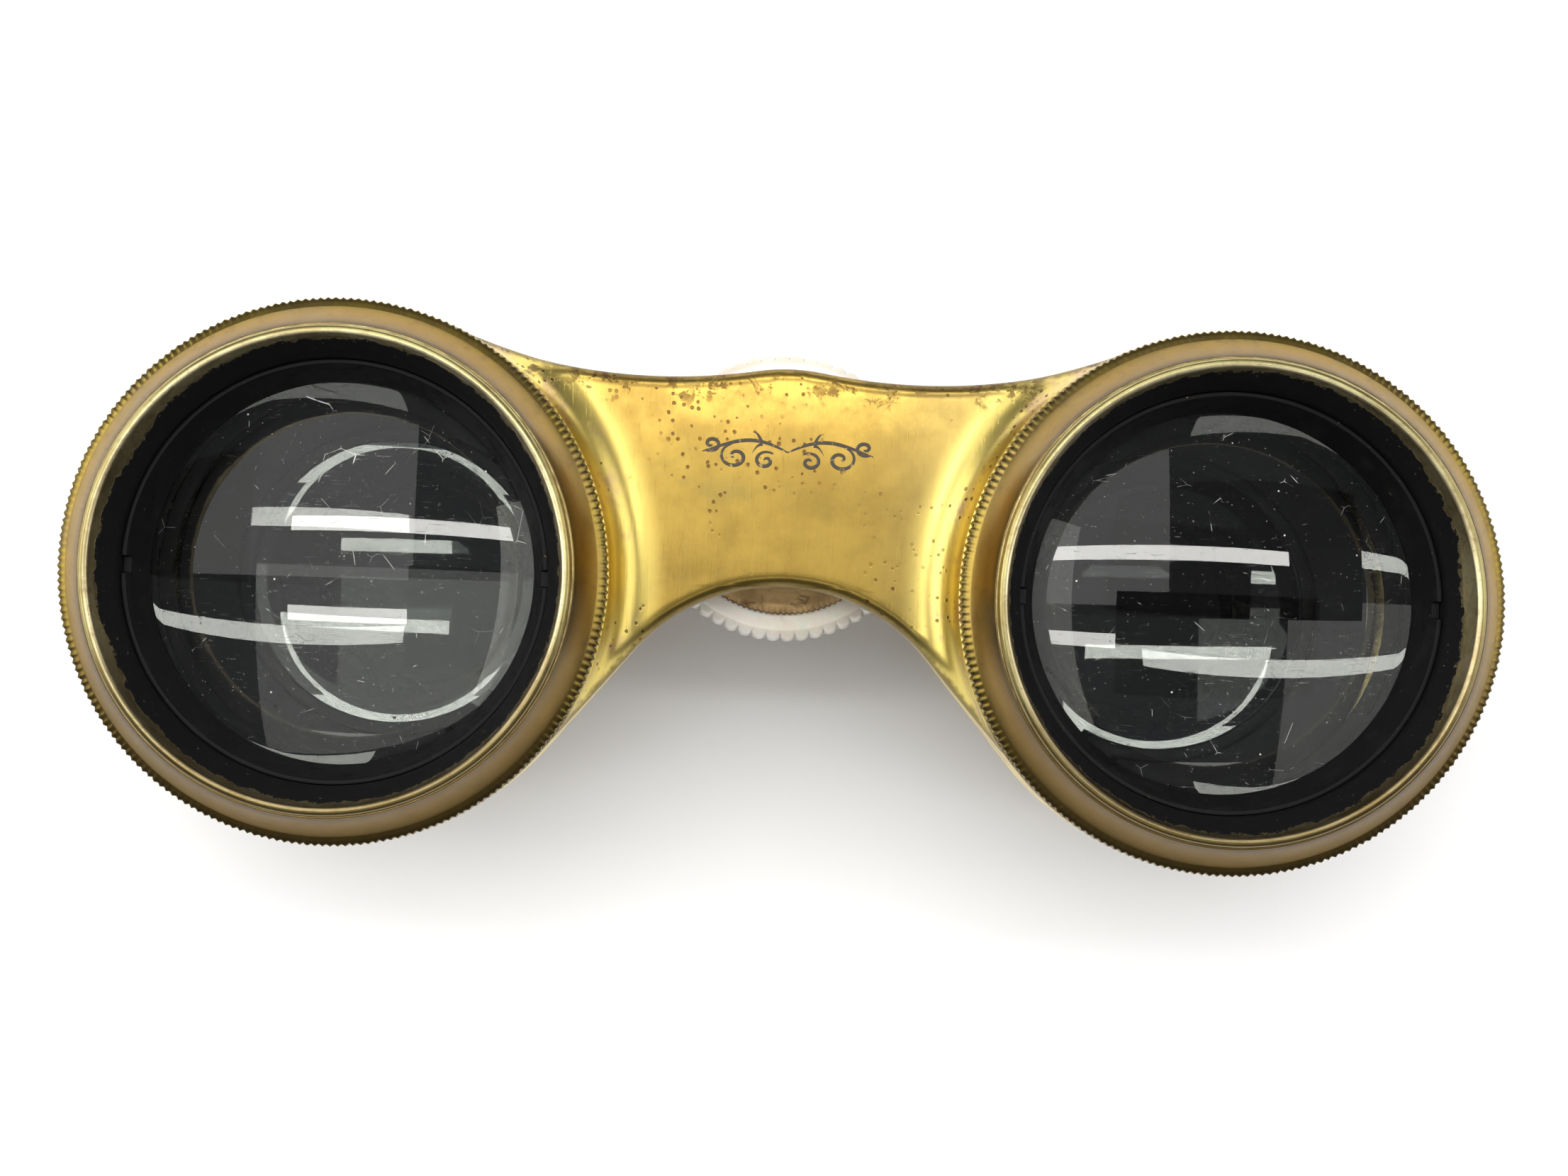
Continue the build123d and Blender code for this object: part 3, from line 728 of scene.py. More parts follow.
@dataclass(frozen=True)
class BezelBrass:
    """Turned brass of the objective mounts, toned ring by ring with a painted highlight on the bead, darker on
    the low side partly from painted shade, black lacquer on the inner cone.
    """

    rim: float
    outer: float
    name: str = "ringed_bezel_brass"
    lacquer: Colour = (0.005, 0.005, 0.0055)
    bared: Colour = (0.16, 0.125, 0.06)
    groove: Colour = (0.055, 0.042, 0.018)

    def material(self) -> bpy.types.Material:
        """Make the material.

        Returns:
            The material.
        """
        r = Recipe(self.name)
        radius = r.lay()[0]
        wander = r.both(r.sum("SUBTRACT", r.cloud(0.9, 4.0, 0.6), 0.5), 0.16)
        across = r.sum("ADD", radius, wander)
        # The pale stops across the bead, from rim - 0.35 to rim + 0.74, are a painted highlight.
        stops = (
            (self.rim - 0.35, (0.78, 0.66, 0.36)),
            (self.rim + 0.22, (0.88, 0.78, 0.48)),
            (self.rim + 0.42, (0.42, 0.38, 0.16)),
            (self.rim + 0.66, (0.50, 0.42, 0.18)),
            (self.rim + 0.74, (0.74, 0.62, 0.31)),
            (self.rim + 0.82, (0.12, 0.09, 0.035)),
            (self.rim + 0.98, (0.14, 0.10, 0.045)),
            (self.rim + 1.15, (0.26, 0.165, 0.052)),
            (self.rim + 1.75, (0.35, 0.225, 0.068)),
            (self.rim + 2.25, (0.38, 0.255, 0.068)),
            (self.outer - 0.62, (0.37, 0.265, 0.060)),
            (self.outer - 0.30, (0.34, 0.25, 0.056)),
            (self.outer - 0.10, (0.38, 0.28, 0.075)),
            (self.outer + 0.05, (0.46, 0.35, 0.12)),
        )
        base = r.bands(across, stops)
        patina = r.rise(r.cloud(0.16, 5.0, 0.66), 0.44, 0.62)
        base = r.tint(r.both(patina, 0.55), base, (0.30, 0.215, 0.085))
        mottle = r.rise(r.cloud(1.3, 6.0, 0.72, None, 0.4), 0.52, 0.66)
        base = r.tint(r.both(mottle, 0.42), base, (0.22, 0.14, 0.07))
        # Darker towards the low side of the bezel: partly tarnish, partly painted shade.
        lower_shade_and_tarnish = r.sum("ADD", r.along(1), r.both(r.cloud(0.2, 3.0), 8.0))
        base = r.tint(r.both(r.rise(lower_shade_and_tarnish, 7.0, -9.0), 0.78), base, (0.13, 0.082, 0.026))
        low_cut = r.both(
            r.rise(radius, self.outer - 0.04, self.outer - 0.16),
            r.rise(radius, self.outer - 0.5, self.outer - 0.24),
        )
        base = r.tint(r.both(low_cut, 0.6), base, self.groove)
        paint = r.mark("paint")
        ragged = r.both(r.sum("SUBTRACT", r.cloud(1.1, 6.0, 0.68), 0.5), 2.6)
        depth = r.sum("ADD", paint, ragged)
        painted = r.both(r.rise(depth, 0.30, 0.42), r.rise(paint, 0.02, 0.10))
        chips = r.both(r.rise(r.cloud(2.2, 4.0, 0.6), 0.69, 0.72), r.rise(paint, 3.4, 0.8))
        painted = r.both(painted, r.sum("SUBTRACT", 1.0, chips))
        inside = r.rise(paint, 0.05, 0.30)
        worn = r.tint(r.rise(r.cloud(1.3, 4.0, 0.6), 0.35, 0.65), self.bared, (0.30, 0.24, 0.12))
        base = r.tint(r.both(inside, 0.85), base, worn)
        dust = r.rise(r.cells(2.6, r.vector("ADD", r.place, (3.7, 1.9, 0.0))), 0.07, 0.03)
        lacquer = r.tint(r.both(dust, 0.5), self.lacquer, (0.32, 0.31, 0.28))
        base = r.tint(painted, base, lacquer)
        bare = r.sum("SUBTRACT", 1.0, painted)
        turning = r.rings(9.0)
        rough = r.sum("ADD", 0.24, r.both(r.cloud(0.7, 4.0), 0.16))
        rough = r.sum("ADD", rough, r.both(inside, 0.16))
        rough = r.sum("ADD", rough, r.both(painted, 0.10))
        normal = r.relief(turning, 0.007)
        normal = r.relief(r.cloud(1.8, 4.0, 0.6), 0.008, normal)
        normal = r.relief(painted, 0.02, normal)
        return r.surface(
            Base_Color=base, Metallic=bare, Roughness=rough, Normal=normal, Specular_IOR_Level=0.12
        )


@dataclass(frozen=True)
class TurnedBrass:
    """Brass straight from the lathe: fine rings, darker where it is touched less."""

    name: str = "turned_brass"
    bright: Colour = (0.80, 0.63, 0.28)
    deep: Colour = (0.50, 0.36, 0.15)
    stain: Colour = (0.20, 0.12, 0.06)
    roughness: float = 0.28
    stained: float = 0.35
    rings_depth: float = 0.008
    black: Colour = (0.004, 0.004, 0.0045)
    black_from: float = 100.0

    def material(self) -> bpy.types.Material:
        """Make the material.

        Returns:
            The material.
        """
        r = Recipe(self.name)
        turning = r.rings(6.0)
        base = r.tint(r.rise(r.cloud(0.25, 3.0), 0.35, 0.7), self.bright, self.deep)
        base = r.tint(r.both(r.rise(turning, 0.45, 0.75), 0.3), base, self.deep)
        stains = r.rise(r.cloud(0.7, 5.0, 0.65, None, 0.5), 0.52, 0.70)
        base = r.tint(r.both(stains, self.stained), base, self.stain)
        deep_end = r.rise(r.lay()[1], self.black_from, self.black_from + 0.4)
        blackened = r.either(r.rise(r.mark("inner"), 0.35, 0.65), deep_end)
        base = r.tint(blackened, base, r.tint(r.both(stains, 0.4), self.black, (0.010, 0.009, 0.008)))
        rough = r.sum("ADD", self.roughness, r.both(stains, 0.18))
        rough = r.sum("ADD", rough, r.both(blackened, 0.30))
        normal = r.relief(turning, self.rings_depth)
        normal = r.relief(r.cloud(1.6, 4.0), 0.006, normal)
        bare = r.sum("SUBTRACT", 1.0, blackened)
        return r.surface(
            Base_Color=base, Metallic=bare, Roughness=rough, Normal=normal, Specular_IOR_Level=0.12
        )


@dataclass(frozen=True)
class BlackLacquer:
    """Matt black lacquer with dust, and worn through to brass in a few specks."""

    name: str = "matt_black_lacquer"
    colour: Colour = (0.005, 0.005, 0.0055)
    brass: Colour = (0.36, 0.28, 0.13)
    wear: float = 0.71

    def material(self) -> bpy.types.Material:
        """Make the material.

        Returns:
            The material.
        """
        r = Recipe(self.name)
        chips = r.rise(r.cloud(1.7, 5.0, 0.62), self.wear, self.wear + 0.02)
        dust = r.rise(r.cells(2.3), 0.06, 0.03)
        film = r.rise(r.cloud(0.5, 4.0, 0.6), 0.45, 0.8)
        base = r.tint(r.both(film, 0.2), self.colour, (0.03, 0.028, 0.025))
        base = r.tint(r.both(dust, 0.45), base, (0.35, 0.34, 0.31))
        base = r.tint(chips, base, self.brass)
        rough = r.sum("ADD", 0.46, r.both(film, 0.25))
        normal = r.relief(r.rings(7.0), 0.006)
        normal = r.relief(r.cloud(6.0, 3.0), 0.004, normal)
        return r.surface(
            Base_Color=base, Metallic=chips, Roughness=rough, Normal=normal, Specular_IOR_Level=0.12
        )


@dataclass(frozen=True)
class MotherOfPearl:
    """Polished mother-of-pearl: creamy layers that turn pink, green and blue, with fine growth lines."""

    name: str = "mother_of_pearl"
    cream: Colour = (0.68, 0.62, 0.50)
    white: Colour = (0.78, 0.76, 0.70)
    shift: tuple[float, float, float] = (0.0, 0.0, 0.0)
    saturation: float = 0.50

    def material(self) -> bpy.types.Material:
        """Make the material.

        Returns:
            The material.
        """
        r = Recipe(self.name)
        at = r.vector("ADD", r.place, self.shift)
        waves = r.cloud(0.09, 4.0, 0.55, r.vector("MULTIPLY", at, (1.0, 1.0, 1.8)), 1.6)
        base = r.tint(r.rise(waves, 0.35, 0.65), self.white, self.cream)
        lustre = r.cloud(0.13, 3.0, 0.5, r.vector("MULTIPLY", at, (1.2, 1.2, 2.2)), 2.2)
        colours = r.bands(
            lustre,
            (
                (0.30, (0.62, 0.80, 0.74)),
                (0.40, (0.88, 0.86, 0.72)),
                (0.48, (0.90, 0.70, 0.72)),
                (0.55, (0.74, 0.82, 0.66)),
                (0.62, (0.62, 0.72, 0.88)),
                (0.72, (0.92, 0.80, 0.66)),
            ),
        )
        base = r.tint(self.saturation, base, colours)
        layers = r.sum("MODULO", r.both(waves, 26.0), 1.0)
        lines = r.rise(r.sum("ABSOLUTE", r.sum("SUBTRACT", layers, 0.5)), 0.40, 0.49)
        base = r.tint(r.both(lines, 0.16), base, (0.56, 0.47, 0.34))
        grime = r.both(r.rise(r.cloud(0.8, 5.0, 0.65), 0.60, 0.74), 0.24)
        base = r.tint(grime, base, (0.42, 0.33, 0.22))
        rough = r.sum("ADD", 0.16, r.both(r.cloud(0.6, 4.0), 0.16))
        normal = r.relief(waves, 0.05)
        normal = r.relief(r.cloud(2.4, 4.0), 0.004, normal)
        return r.surface(
            Base_Color=base,
            Roughness=rough,
            Normal=normal,
            Coat_Weight=0.5,
            Coat_Roughness=0.08,
            Subsurface_Weight=0.25,
            Subsurface_Radius=(1.0, 0.8, 0.6),
            Subsurface_Scale=0.0012,
        )


@dataclass(frozen=True)
class LensGlass:
    """Old lens glass with settled dust, a few fibres and hairline scratches."""

    name: str = "lens_glass"
    tone: Colour = (0.95, 0.98, 0.95)
    dust_colour: Colour = (0.62, 0.60, 0.54)
    dustiness: float = 1.0

    def material(self) -> bpy.types.Material:
        """Make the material.

        Returns:
            The material.
        """
        r = Recipe(self.name)
        specks = r.rise(r.cells(1.5), 0.050, 0.028)
        coarse = r.rise(r.cells(0.42, r.vector("ADD", r.place, (5.1, 2.7, 1.3))), 0.035, 0.018)
        strands = r.cells(0.32, r.vector("ADD", r.place, (1.1, 7.3, 0.4)), "DISTANCE_TO_EDGE")
        strands = r.both(r.rise(strands, 0.006, 0.001), r.rise(r.cloud(0.4, 2.0), 0.60, 0.66))
        dust = r.both(r.either(r.either(specks, coarse), r.both(strands, 0.7)), self.dustiness)
        base = r.tint(dust, self.tone, self.dust_colour)
        haze = r.both(r.rise(r.cloud(0.22, 5.0, 0.65), 0.45, 0.80), 0.05)
        rough = r.sum("ADD", haze, r.both(dust, 0.6))
        clear = r.sum("SUBTRACT", 1.0, r.both(dust, 0.85))
        scratches = r.rise(r.cloud(1.0, 1.0, 0.5, r.stretched(0.9, 9.0, 1.0)), 0.71, 0.74)
        normal = r.relief(scratches, 0.0008)
        return r.surface(
            Base_Color=base, Transmission_Weight=clear, Roughness=rough, IOR=1.54, Normal=normal
        )


@dataclass(frozen=True)
class EngravedLine:
    """Engraved line filled with old wax and polish."""

    name: str = "engraved_line"
    wax: Colour = (0.030, 0.020, 0.010)
    bright: Colour = (0.40, 0.29, 0.11)

    def material(self) -> bpy.types.Material:
        """Make the material.

        Returns:
            The material.
        """
        r = Recipe(self.name)
        # Where the wax is rubbed out of the line, the brass shows bright.
        rubbed_and_painted_highlight = r.rise(r.cloud(2.2, 4.0, 0.6), 0.58, 0.70)
        base = r.tint(rubbed_and_painted_highlight, self.wax, self.bright)
        normal = r.relief(r.cloud(8.0, 3.0), 0.006)
        return r.surface(Base_Color=base, Metallic=r.both(rubbed_and_painted_highlight, 0.9), Roughness=0.42, Normal=normal)


@dataclass(frozen=True)
class PalePaper:
    """Plain pale sheet that the glasses stand on."""

    name: str = "pale_sheet"
    colour: Colour = (0.86, 0.86, 0.87)

    def material(self) -> bpy.types.Material:
        """Make the material.

        Returns:
            The material.
        """
        r = Recipe(self.name)
        fibre = r.cloud(3.0, 4.0, 0.6)
        base = r.tint(r.both(fibre, 0.05), self.colour, (0.80, 0.80, 0.80))
        return r.surface(Base_Color=base, Roughness=0.75, Normal=r.relief(fibre, 0.01))


@dataclass(frozen=True)
class DarkCloth:
    """Dull dark cloth of the screen beside the camera."""

    name: str = "dark_cloth"
    colour: Colour = (0.012, 0.011, 0.011)

    def material(self) -> bpy.types.Material:
        """Make the material.

        Returns:
            The material.
        """
        r = Recipe(self.name)
        weave = r.cloud(2.0, 3.0)
        return r.surface(Base_Color=r.tint(weave, self.colour, (0.02, 0.018, 0.018)), Roughness=0.9)


# ------------------------------------------------------------------------------------ bridges
@dataclass
class BridgeOutline:
    """Outline of a bridge: a lobe round each optical axis, dips and a hump above, the nose arch below.

    Every stretch is tangent to the next. Only the right half is kept; the left half mirrors it.
    """

    half_spacing: float
    lobe: float
    saddle_drop: float = 4.05
    hump_rise: float = 0.82
    hump: float = 14.0
    crown: float = 0.15
    flank: float = 50.4

    def trace(self) -> np.ndarray:
        """Points along the right half, from the arch's crown round the lobe to the hump's top.

        Returns:
            Array of (x, y).
        """
        half, lobe = self.half_spacing, self.lobe
        across, up = math.sin(math.radians(self.flank)), math.cos(math.radians(self.flank))
        arch = (across * half - lobe - up * self.crown) / (1 - up)
        arch_centre = (0.0, self.crown - arch)
        foot = (half - lobe * across, -lobe * up)
        dip_y = lobe - self.saddle_drop
        share = self.hump_rise / self.saddle_drop
        reach = half**2 + dip_y**2 - lobe**2
        constant = share * reach + 2 * self.hump_rise * self.hump - self.hump_rise**2
        slope = share * half
        dip_x = (math.sqrt(slope**2 + (1 - share) * constant) - slope) / (1 - share)
        dip = (dip_x**2 + self.hump_rise**2) / (2 * self.hump_rise) - self.hump
        dip_centre = (dip_x, dip_y + dip)
        hump_centre = (0.0, dip_y + self.hump_rise - self.hump)
        to_lobe = math.atan2(-dip_centre[1], half - dip_x)
        to_hump = math.atan2(hump_centre[1] - dip_centre[1], -dip_x)
        lobe_top = math.degrees(math.atan2(dip_centre[1], dip_x - half))
        lobe_foot = math.degrees(math.atan2(foot[1], foot[0] - half)) % 360
        arch_end = 90 - self.flank
        points = arc(arch_centre, arch, 90, arch_end, 60)
        tip = points[-1]
        reach = (foot[0] - tip[0], foot[1] - tip[1])
        points += [(tip[0] + reach[0] * t, tip[1] + reach[1] * t) for t in np.linspace(0, 1, 80)[1:]]
        points += arc((half, 0.0), lobe, lobe_foot, lobe_top + 360, 300)[1:]
        first = math.degrees(to_lobe)
        last = math.degrees(to_hump)
        points += arc(dip_centre, dip, first, first - ((first - last) % 360), 120)[1:]
        joint = points[-1]
        hump_start = math.degrees(math.atan2(joint[1] - hump_centre[1], joint[0] - hump_centre[0]))
        points += arc(hump_centre, self.hump, hump_start, 90, 60)[1:]
        return np.array(points)


@dataclass
class Rays:
    """Directions from a lobe's axis to the outline, with the distance to the edge on each."""

    turn: np.ndarray
    reach: np.ndarray
    on_edge: np.ndarray


@dataclass
class BridgeShape:
    """Sheet surface of a bridge: collars, flares, saddle and a rounded edge with its skirt."""

    outline: BridgeOutline
    bore: float
    face: float
    skirt: float
    edge_round: float
    collar_step: float = 0.0
    collar_radius: float = 0.0
    collar_fillet: float = 0.0
    bore_wall: float = 0.0
    rows: int = 58
    wall_rows: int = 10

    def rays(self) -> Rays:
        """Spread the directions, closest where the saddle is.

        Returns:
            The directions round the right lobe.
        """
        half = self.outline.half_spacing
        trace = self.outline.trace()
        offset = trace - np.array([half, 0.0])
        turn = np.unwrap(np.arctan2(offset[:, 1], offset[:, 0]))
        turn += math.tau if turn[0] < 0 else 0.0
        reach = np.hypot(offset[:, 0], offset[:, 1])
        near = reach > self.outline.lobe + 0.002
        first_far = int(np.argmax(~near))
        last_far = len(near) - 1 - int(np.argmax(~near[::-1]))
        stretches = [
            np.linspace(turn[0], turn[first_far], 130, endpoint=False),
            np.linspace(turn[first_far], turn[last_far], 126, endpoint=False),
            np.linspace(turn[last_far], turn[-1], 140),
        ]
        edge_turns = np.concatenate(stretches)
        inner = np.linspace(turn[-1], turn[0] + math.tau, 72)[1:-1]
        turns = np.concatenate([edge_turns, inner])
        edge_reach = np.interp(edge_turns, turn, reach)
        inner_reach = half / -np.cos(inner)
        return Rays(
            turns,
            np.concatenate([edge_reach, inner_reach]),
            np.concatenate([np.ones(len(edge_turns), bool), np.zeros(len(inner), bool)]),
        )

    def path(self, reach: float) -> np.ndarray:
        """Section along one ray before its edge is rounded.

        Args:
            reach: distance to the edge along the ray.

        Returns:
            Array of (distance, height above the face).
        """
        top = self.collar_step
        points: list[tuple[float, float]] = []
        if self.bore_wall:
            points += [(self.bore, -h) for h in np.linspace(self.bore_wall, 0.15, 14)]
            points += arc((self.bore + 0.15, top - 0.15), 0.15, 180, 90, 8)
        else:
            points.append((self.bore, top))
        if not self.collar_step or reach <= self.collar_radius + 1e-6:
            points += [(r, top) for r in np.linspace(self.bore, reach, 260)[1:] if r > points[-1][0]]
            return np.array(points)
        corner = 0.18
        points += [(r, top) for r in np.linspace(self.bore, self.collar_radius - corner, 30)[1:]]
        points += arc((self.collar_radius - corner, top - corner), corner, 90, 0, 10)[1:]
        points += [(self.collar_radius, h) for h in np.linspace(top - corner, self.collar_fillet, 14)[1:]]
        centre = (self.collar_radius + self.collar_fillet, self.collar_fillet)
        flare = [p for p in arc(centre, self.collar_fillet, 180, 270, 120)[1:] if p[0] < reach]
        points += flare
        if reach <= centre[0]:
            run = centre[0] - reach
            low = self.collar_fillet - math.sqrt(max(self.collar_fillet**2 - run**2, 0.0))
            points += [(reach, low)]
            start, height = points[-2], low
            points = points[:-1] + [
                (
                    start[0] + (reach - start[0]) * t, start[1] + (height - start[1]) * t
                ) for t in np.linspace(0, 1, 20)[1:]
            ]
            return np.array(points)
        even = np.linspace(0, 1, 220)[1:]
        points += [(centre[0] + (reach - centre[0]) * (1 - (1 - t) ** 1.6), 0.0) for t in even]
        return np.array(points)

    @staticmethod
    def gap_to(trace: np.ndarray, points: np.ndarray) -> np.ndarray:
        """Distance from points to a traced line.

        Args:
            trace: array of (x, y) along the line.
            points: array of (x, y).

        Returns:
            The distance of each point.
        """
        start, run = trace[:-1], np.diff(trace, axis=0)
        length = (run**2).sum(1)
        away = points[:, None, :] - start[None]
        share = np.clip((away * run[None]).sum(2) / length[None], 0, 1)
        nearest = away - share[..., None] * run[None]
        return np.sqrt((nearest**2).sum(2).min(1))

    @staticmethod
    def even_rows(path: np.ndarray, guide: np.ndarray, rows: int) -> np.ndarray:
        """Pick rows along a section, closer where its guide bends.

        Args:
            path: array with a column for each value to keep.
            guide: array of (distance, height) that sets where the rows lie.
            rows: how many rows to keep.

        Returns:
            The picked rows, all columns.
        """
        step = np.diff(guide, axis=0)
        length = np.maximum(np.hypot(step[:, 0], step[:, 1]), 1e-9)
        heading = np.unwrap(np.arctan2(step[:, 1], step[:, 0]))
        bend = np.abs(np.gradient(heading)) if len(heading) > 2 else np.zeros(len(heading))
        cost = np.concatenate([[0], np.cumsum(length / length.sum() + bend / 4.0)])
        where = np.linspace(0, cost[-1], rows)
        return np.stack([np.interp(where, cost, column) for column in path.T], 1)

    def make(self, name: str, downward: bool = False) -> bpy.types.Object:
        """Build the surface.

        Args:
            name: name of the object.
            downward: whether the face looks down, towards the eyes.

        Returns:
            The new object.
        """
        half = self.outline.half_spacing
        trace = self.outline.trace()
        below, above = trace[:140], trace[-180:]
        flip = np.array([-1, 1])
        saddle = [np.concatenate([part[::-2] * flip, part[::2]]) for part in (below, above[::-1])]
        rays = self.rays()
        points: list[np.ndarray] = []
        edges: list[np.ndarray] = []
        flares: list[np.ndarray] = []
        top_rows: list[np.ndarray] = []
        wall_rows: list[Optional[np.ndarray]] = []
        at = 0
        for turn, reach, on_edge in zip(rays.turn, rays.reach, rays.on_edge):
            path = self.path(float(reach))
            direction = np.array([math.cos(turn), math.sin(turn)])
            place = np.array([half, 0.0]) + path[:, :1] * direction
            plain = reach <= self.outline.lobe + 0.002
            if plain:
                gap = reach - path[:, 0]
                bend = min(self.edge_round, 0.2 if self.collar_step else self.edge_round)
            else:
                gap = np.minimum(self.gap_to(saddle[0], place), self.gap_to(saddle[1], place))
                spare = 0.6 * (reach - self.collar_radius) if self.collar_step else self.edge_round
                bend = max(min(self.edge_round, spare), 0.05)
            if on_edge:
                gap[-1] = 0.0
            inner = np.clip(bend - gap, 0, bend)
            if self.bore_wall:
                inner = np.where(path[:, 1] < -0.16, 0, inner)
            height = path[:, 1] - (bend - np.sqrt(bend**2 - inner**2))
            lead = np.clip(bend - (reach - path[:, 0]), 0, bend)
            guide = np.column_stack([path[:, 0], path[:, 1] - (bend - np.sqrt(bend**2 - lead**2))])
            kept = self.even_rows(np.column_stack([path[:, 0], height, gap]), guide, self.rows)
            place = np.array([half, 0.0]) + kept[:, :1] * direction
            points.append(np.column_stack([place, self.face + kept[:, 1]]))
            edges.append(kept[:, 2])
            flares.append(np.maximum(kept[:, 0] - max(self.collar_radius, self.bore), 0))
            top_rows.append(np.arange(at, at + self.rows))
            at += self.rows
            if not on_edge:
                wall_rows.append(None)
                continue
            low = self.skirt
            start = self.face + kept[-1, 1]
            depths = np.linspace(start, low, self.wall_rows + 1)[1:]
            points.append(np.column_stack([np.repeat(place[-1:], self.wall_rows, 0), depths]))
            edges.append(np.minimum(start - depths, depths - low))
            flares.append(np.repeat(flares[-1][-1], self.wall_rows))
            wall_rows.append(np.arange(at, at + self.wall_rows))
            at += self.wall_rows
        faces: list[list[int]] = []
        count = len(rays.turn)
        for i in range(count):
            j = (i + 1) % count
            here, there = list(top_rows[i]), list(top_rows[j])
            if wall_rows[i] is not None and wall_rows[j] is not None:
                here += list(wall_rows[i])
                there += list(wall_rows[j])
            shared = min(len(here), len(there)) - 1
            faces += [
                [int(here[k]), int(here[k + 1]), int(there[k + 1]), int(there[k])] for k in range(shared)
            ]
        grid = np.concatenate(points)
        marks = {"edge": np.concatenate(edges), "flare": np.concatenate(flares)}
        grid, faces, marks = self.mirror(grid, faces, marks)
        if downward:
            grid[:, 2] = self.face + (self.face - grid[:, 2])
            faces = [list(reversed(face)) for face in faces]
        made = build_mesh(name, grid, faces, marks)
        weld(made, 0.004)
        made.data.shade_smooth()
        made.data.set_sharp_from_angle(angle=math.radians(38))
        return made

    @staticmethod
    def mirror(
        grid: np.ndarray, faces: list[list[int]], marks: dict[str, np.ndarray]
    ) -> tuple[np.ndarray, list[list[int]], dict[str, np.ndarray]]:
        """Add the left half as the mirror of the right one.

        Args:
            grid: the points.
            faces: the faces.
            marks: the values kept at the points.

        Returns:
            Points, faces and marks of both halves.
        """
        other = grid * np.array([-1, 1, 1])
        all_faces = faces + [[k + len(grid) for k in reversed(face)] for face in faces]
        kept = {key: np.concatenate([value, value]) for key, value in marks.items()}
        return np.concatenate([grid, other]), all_faces, kept


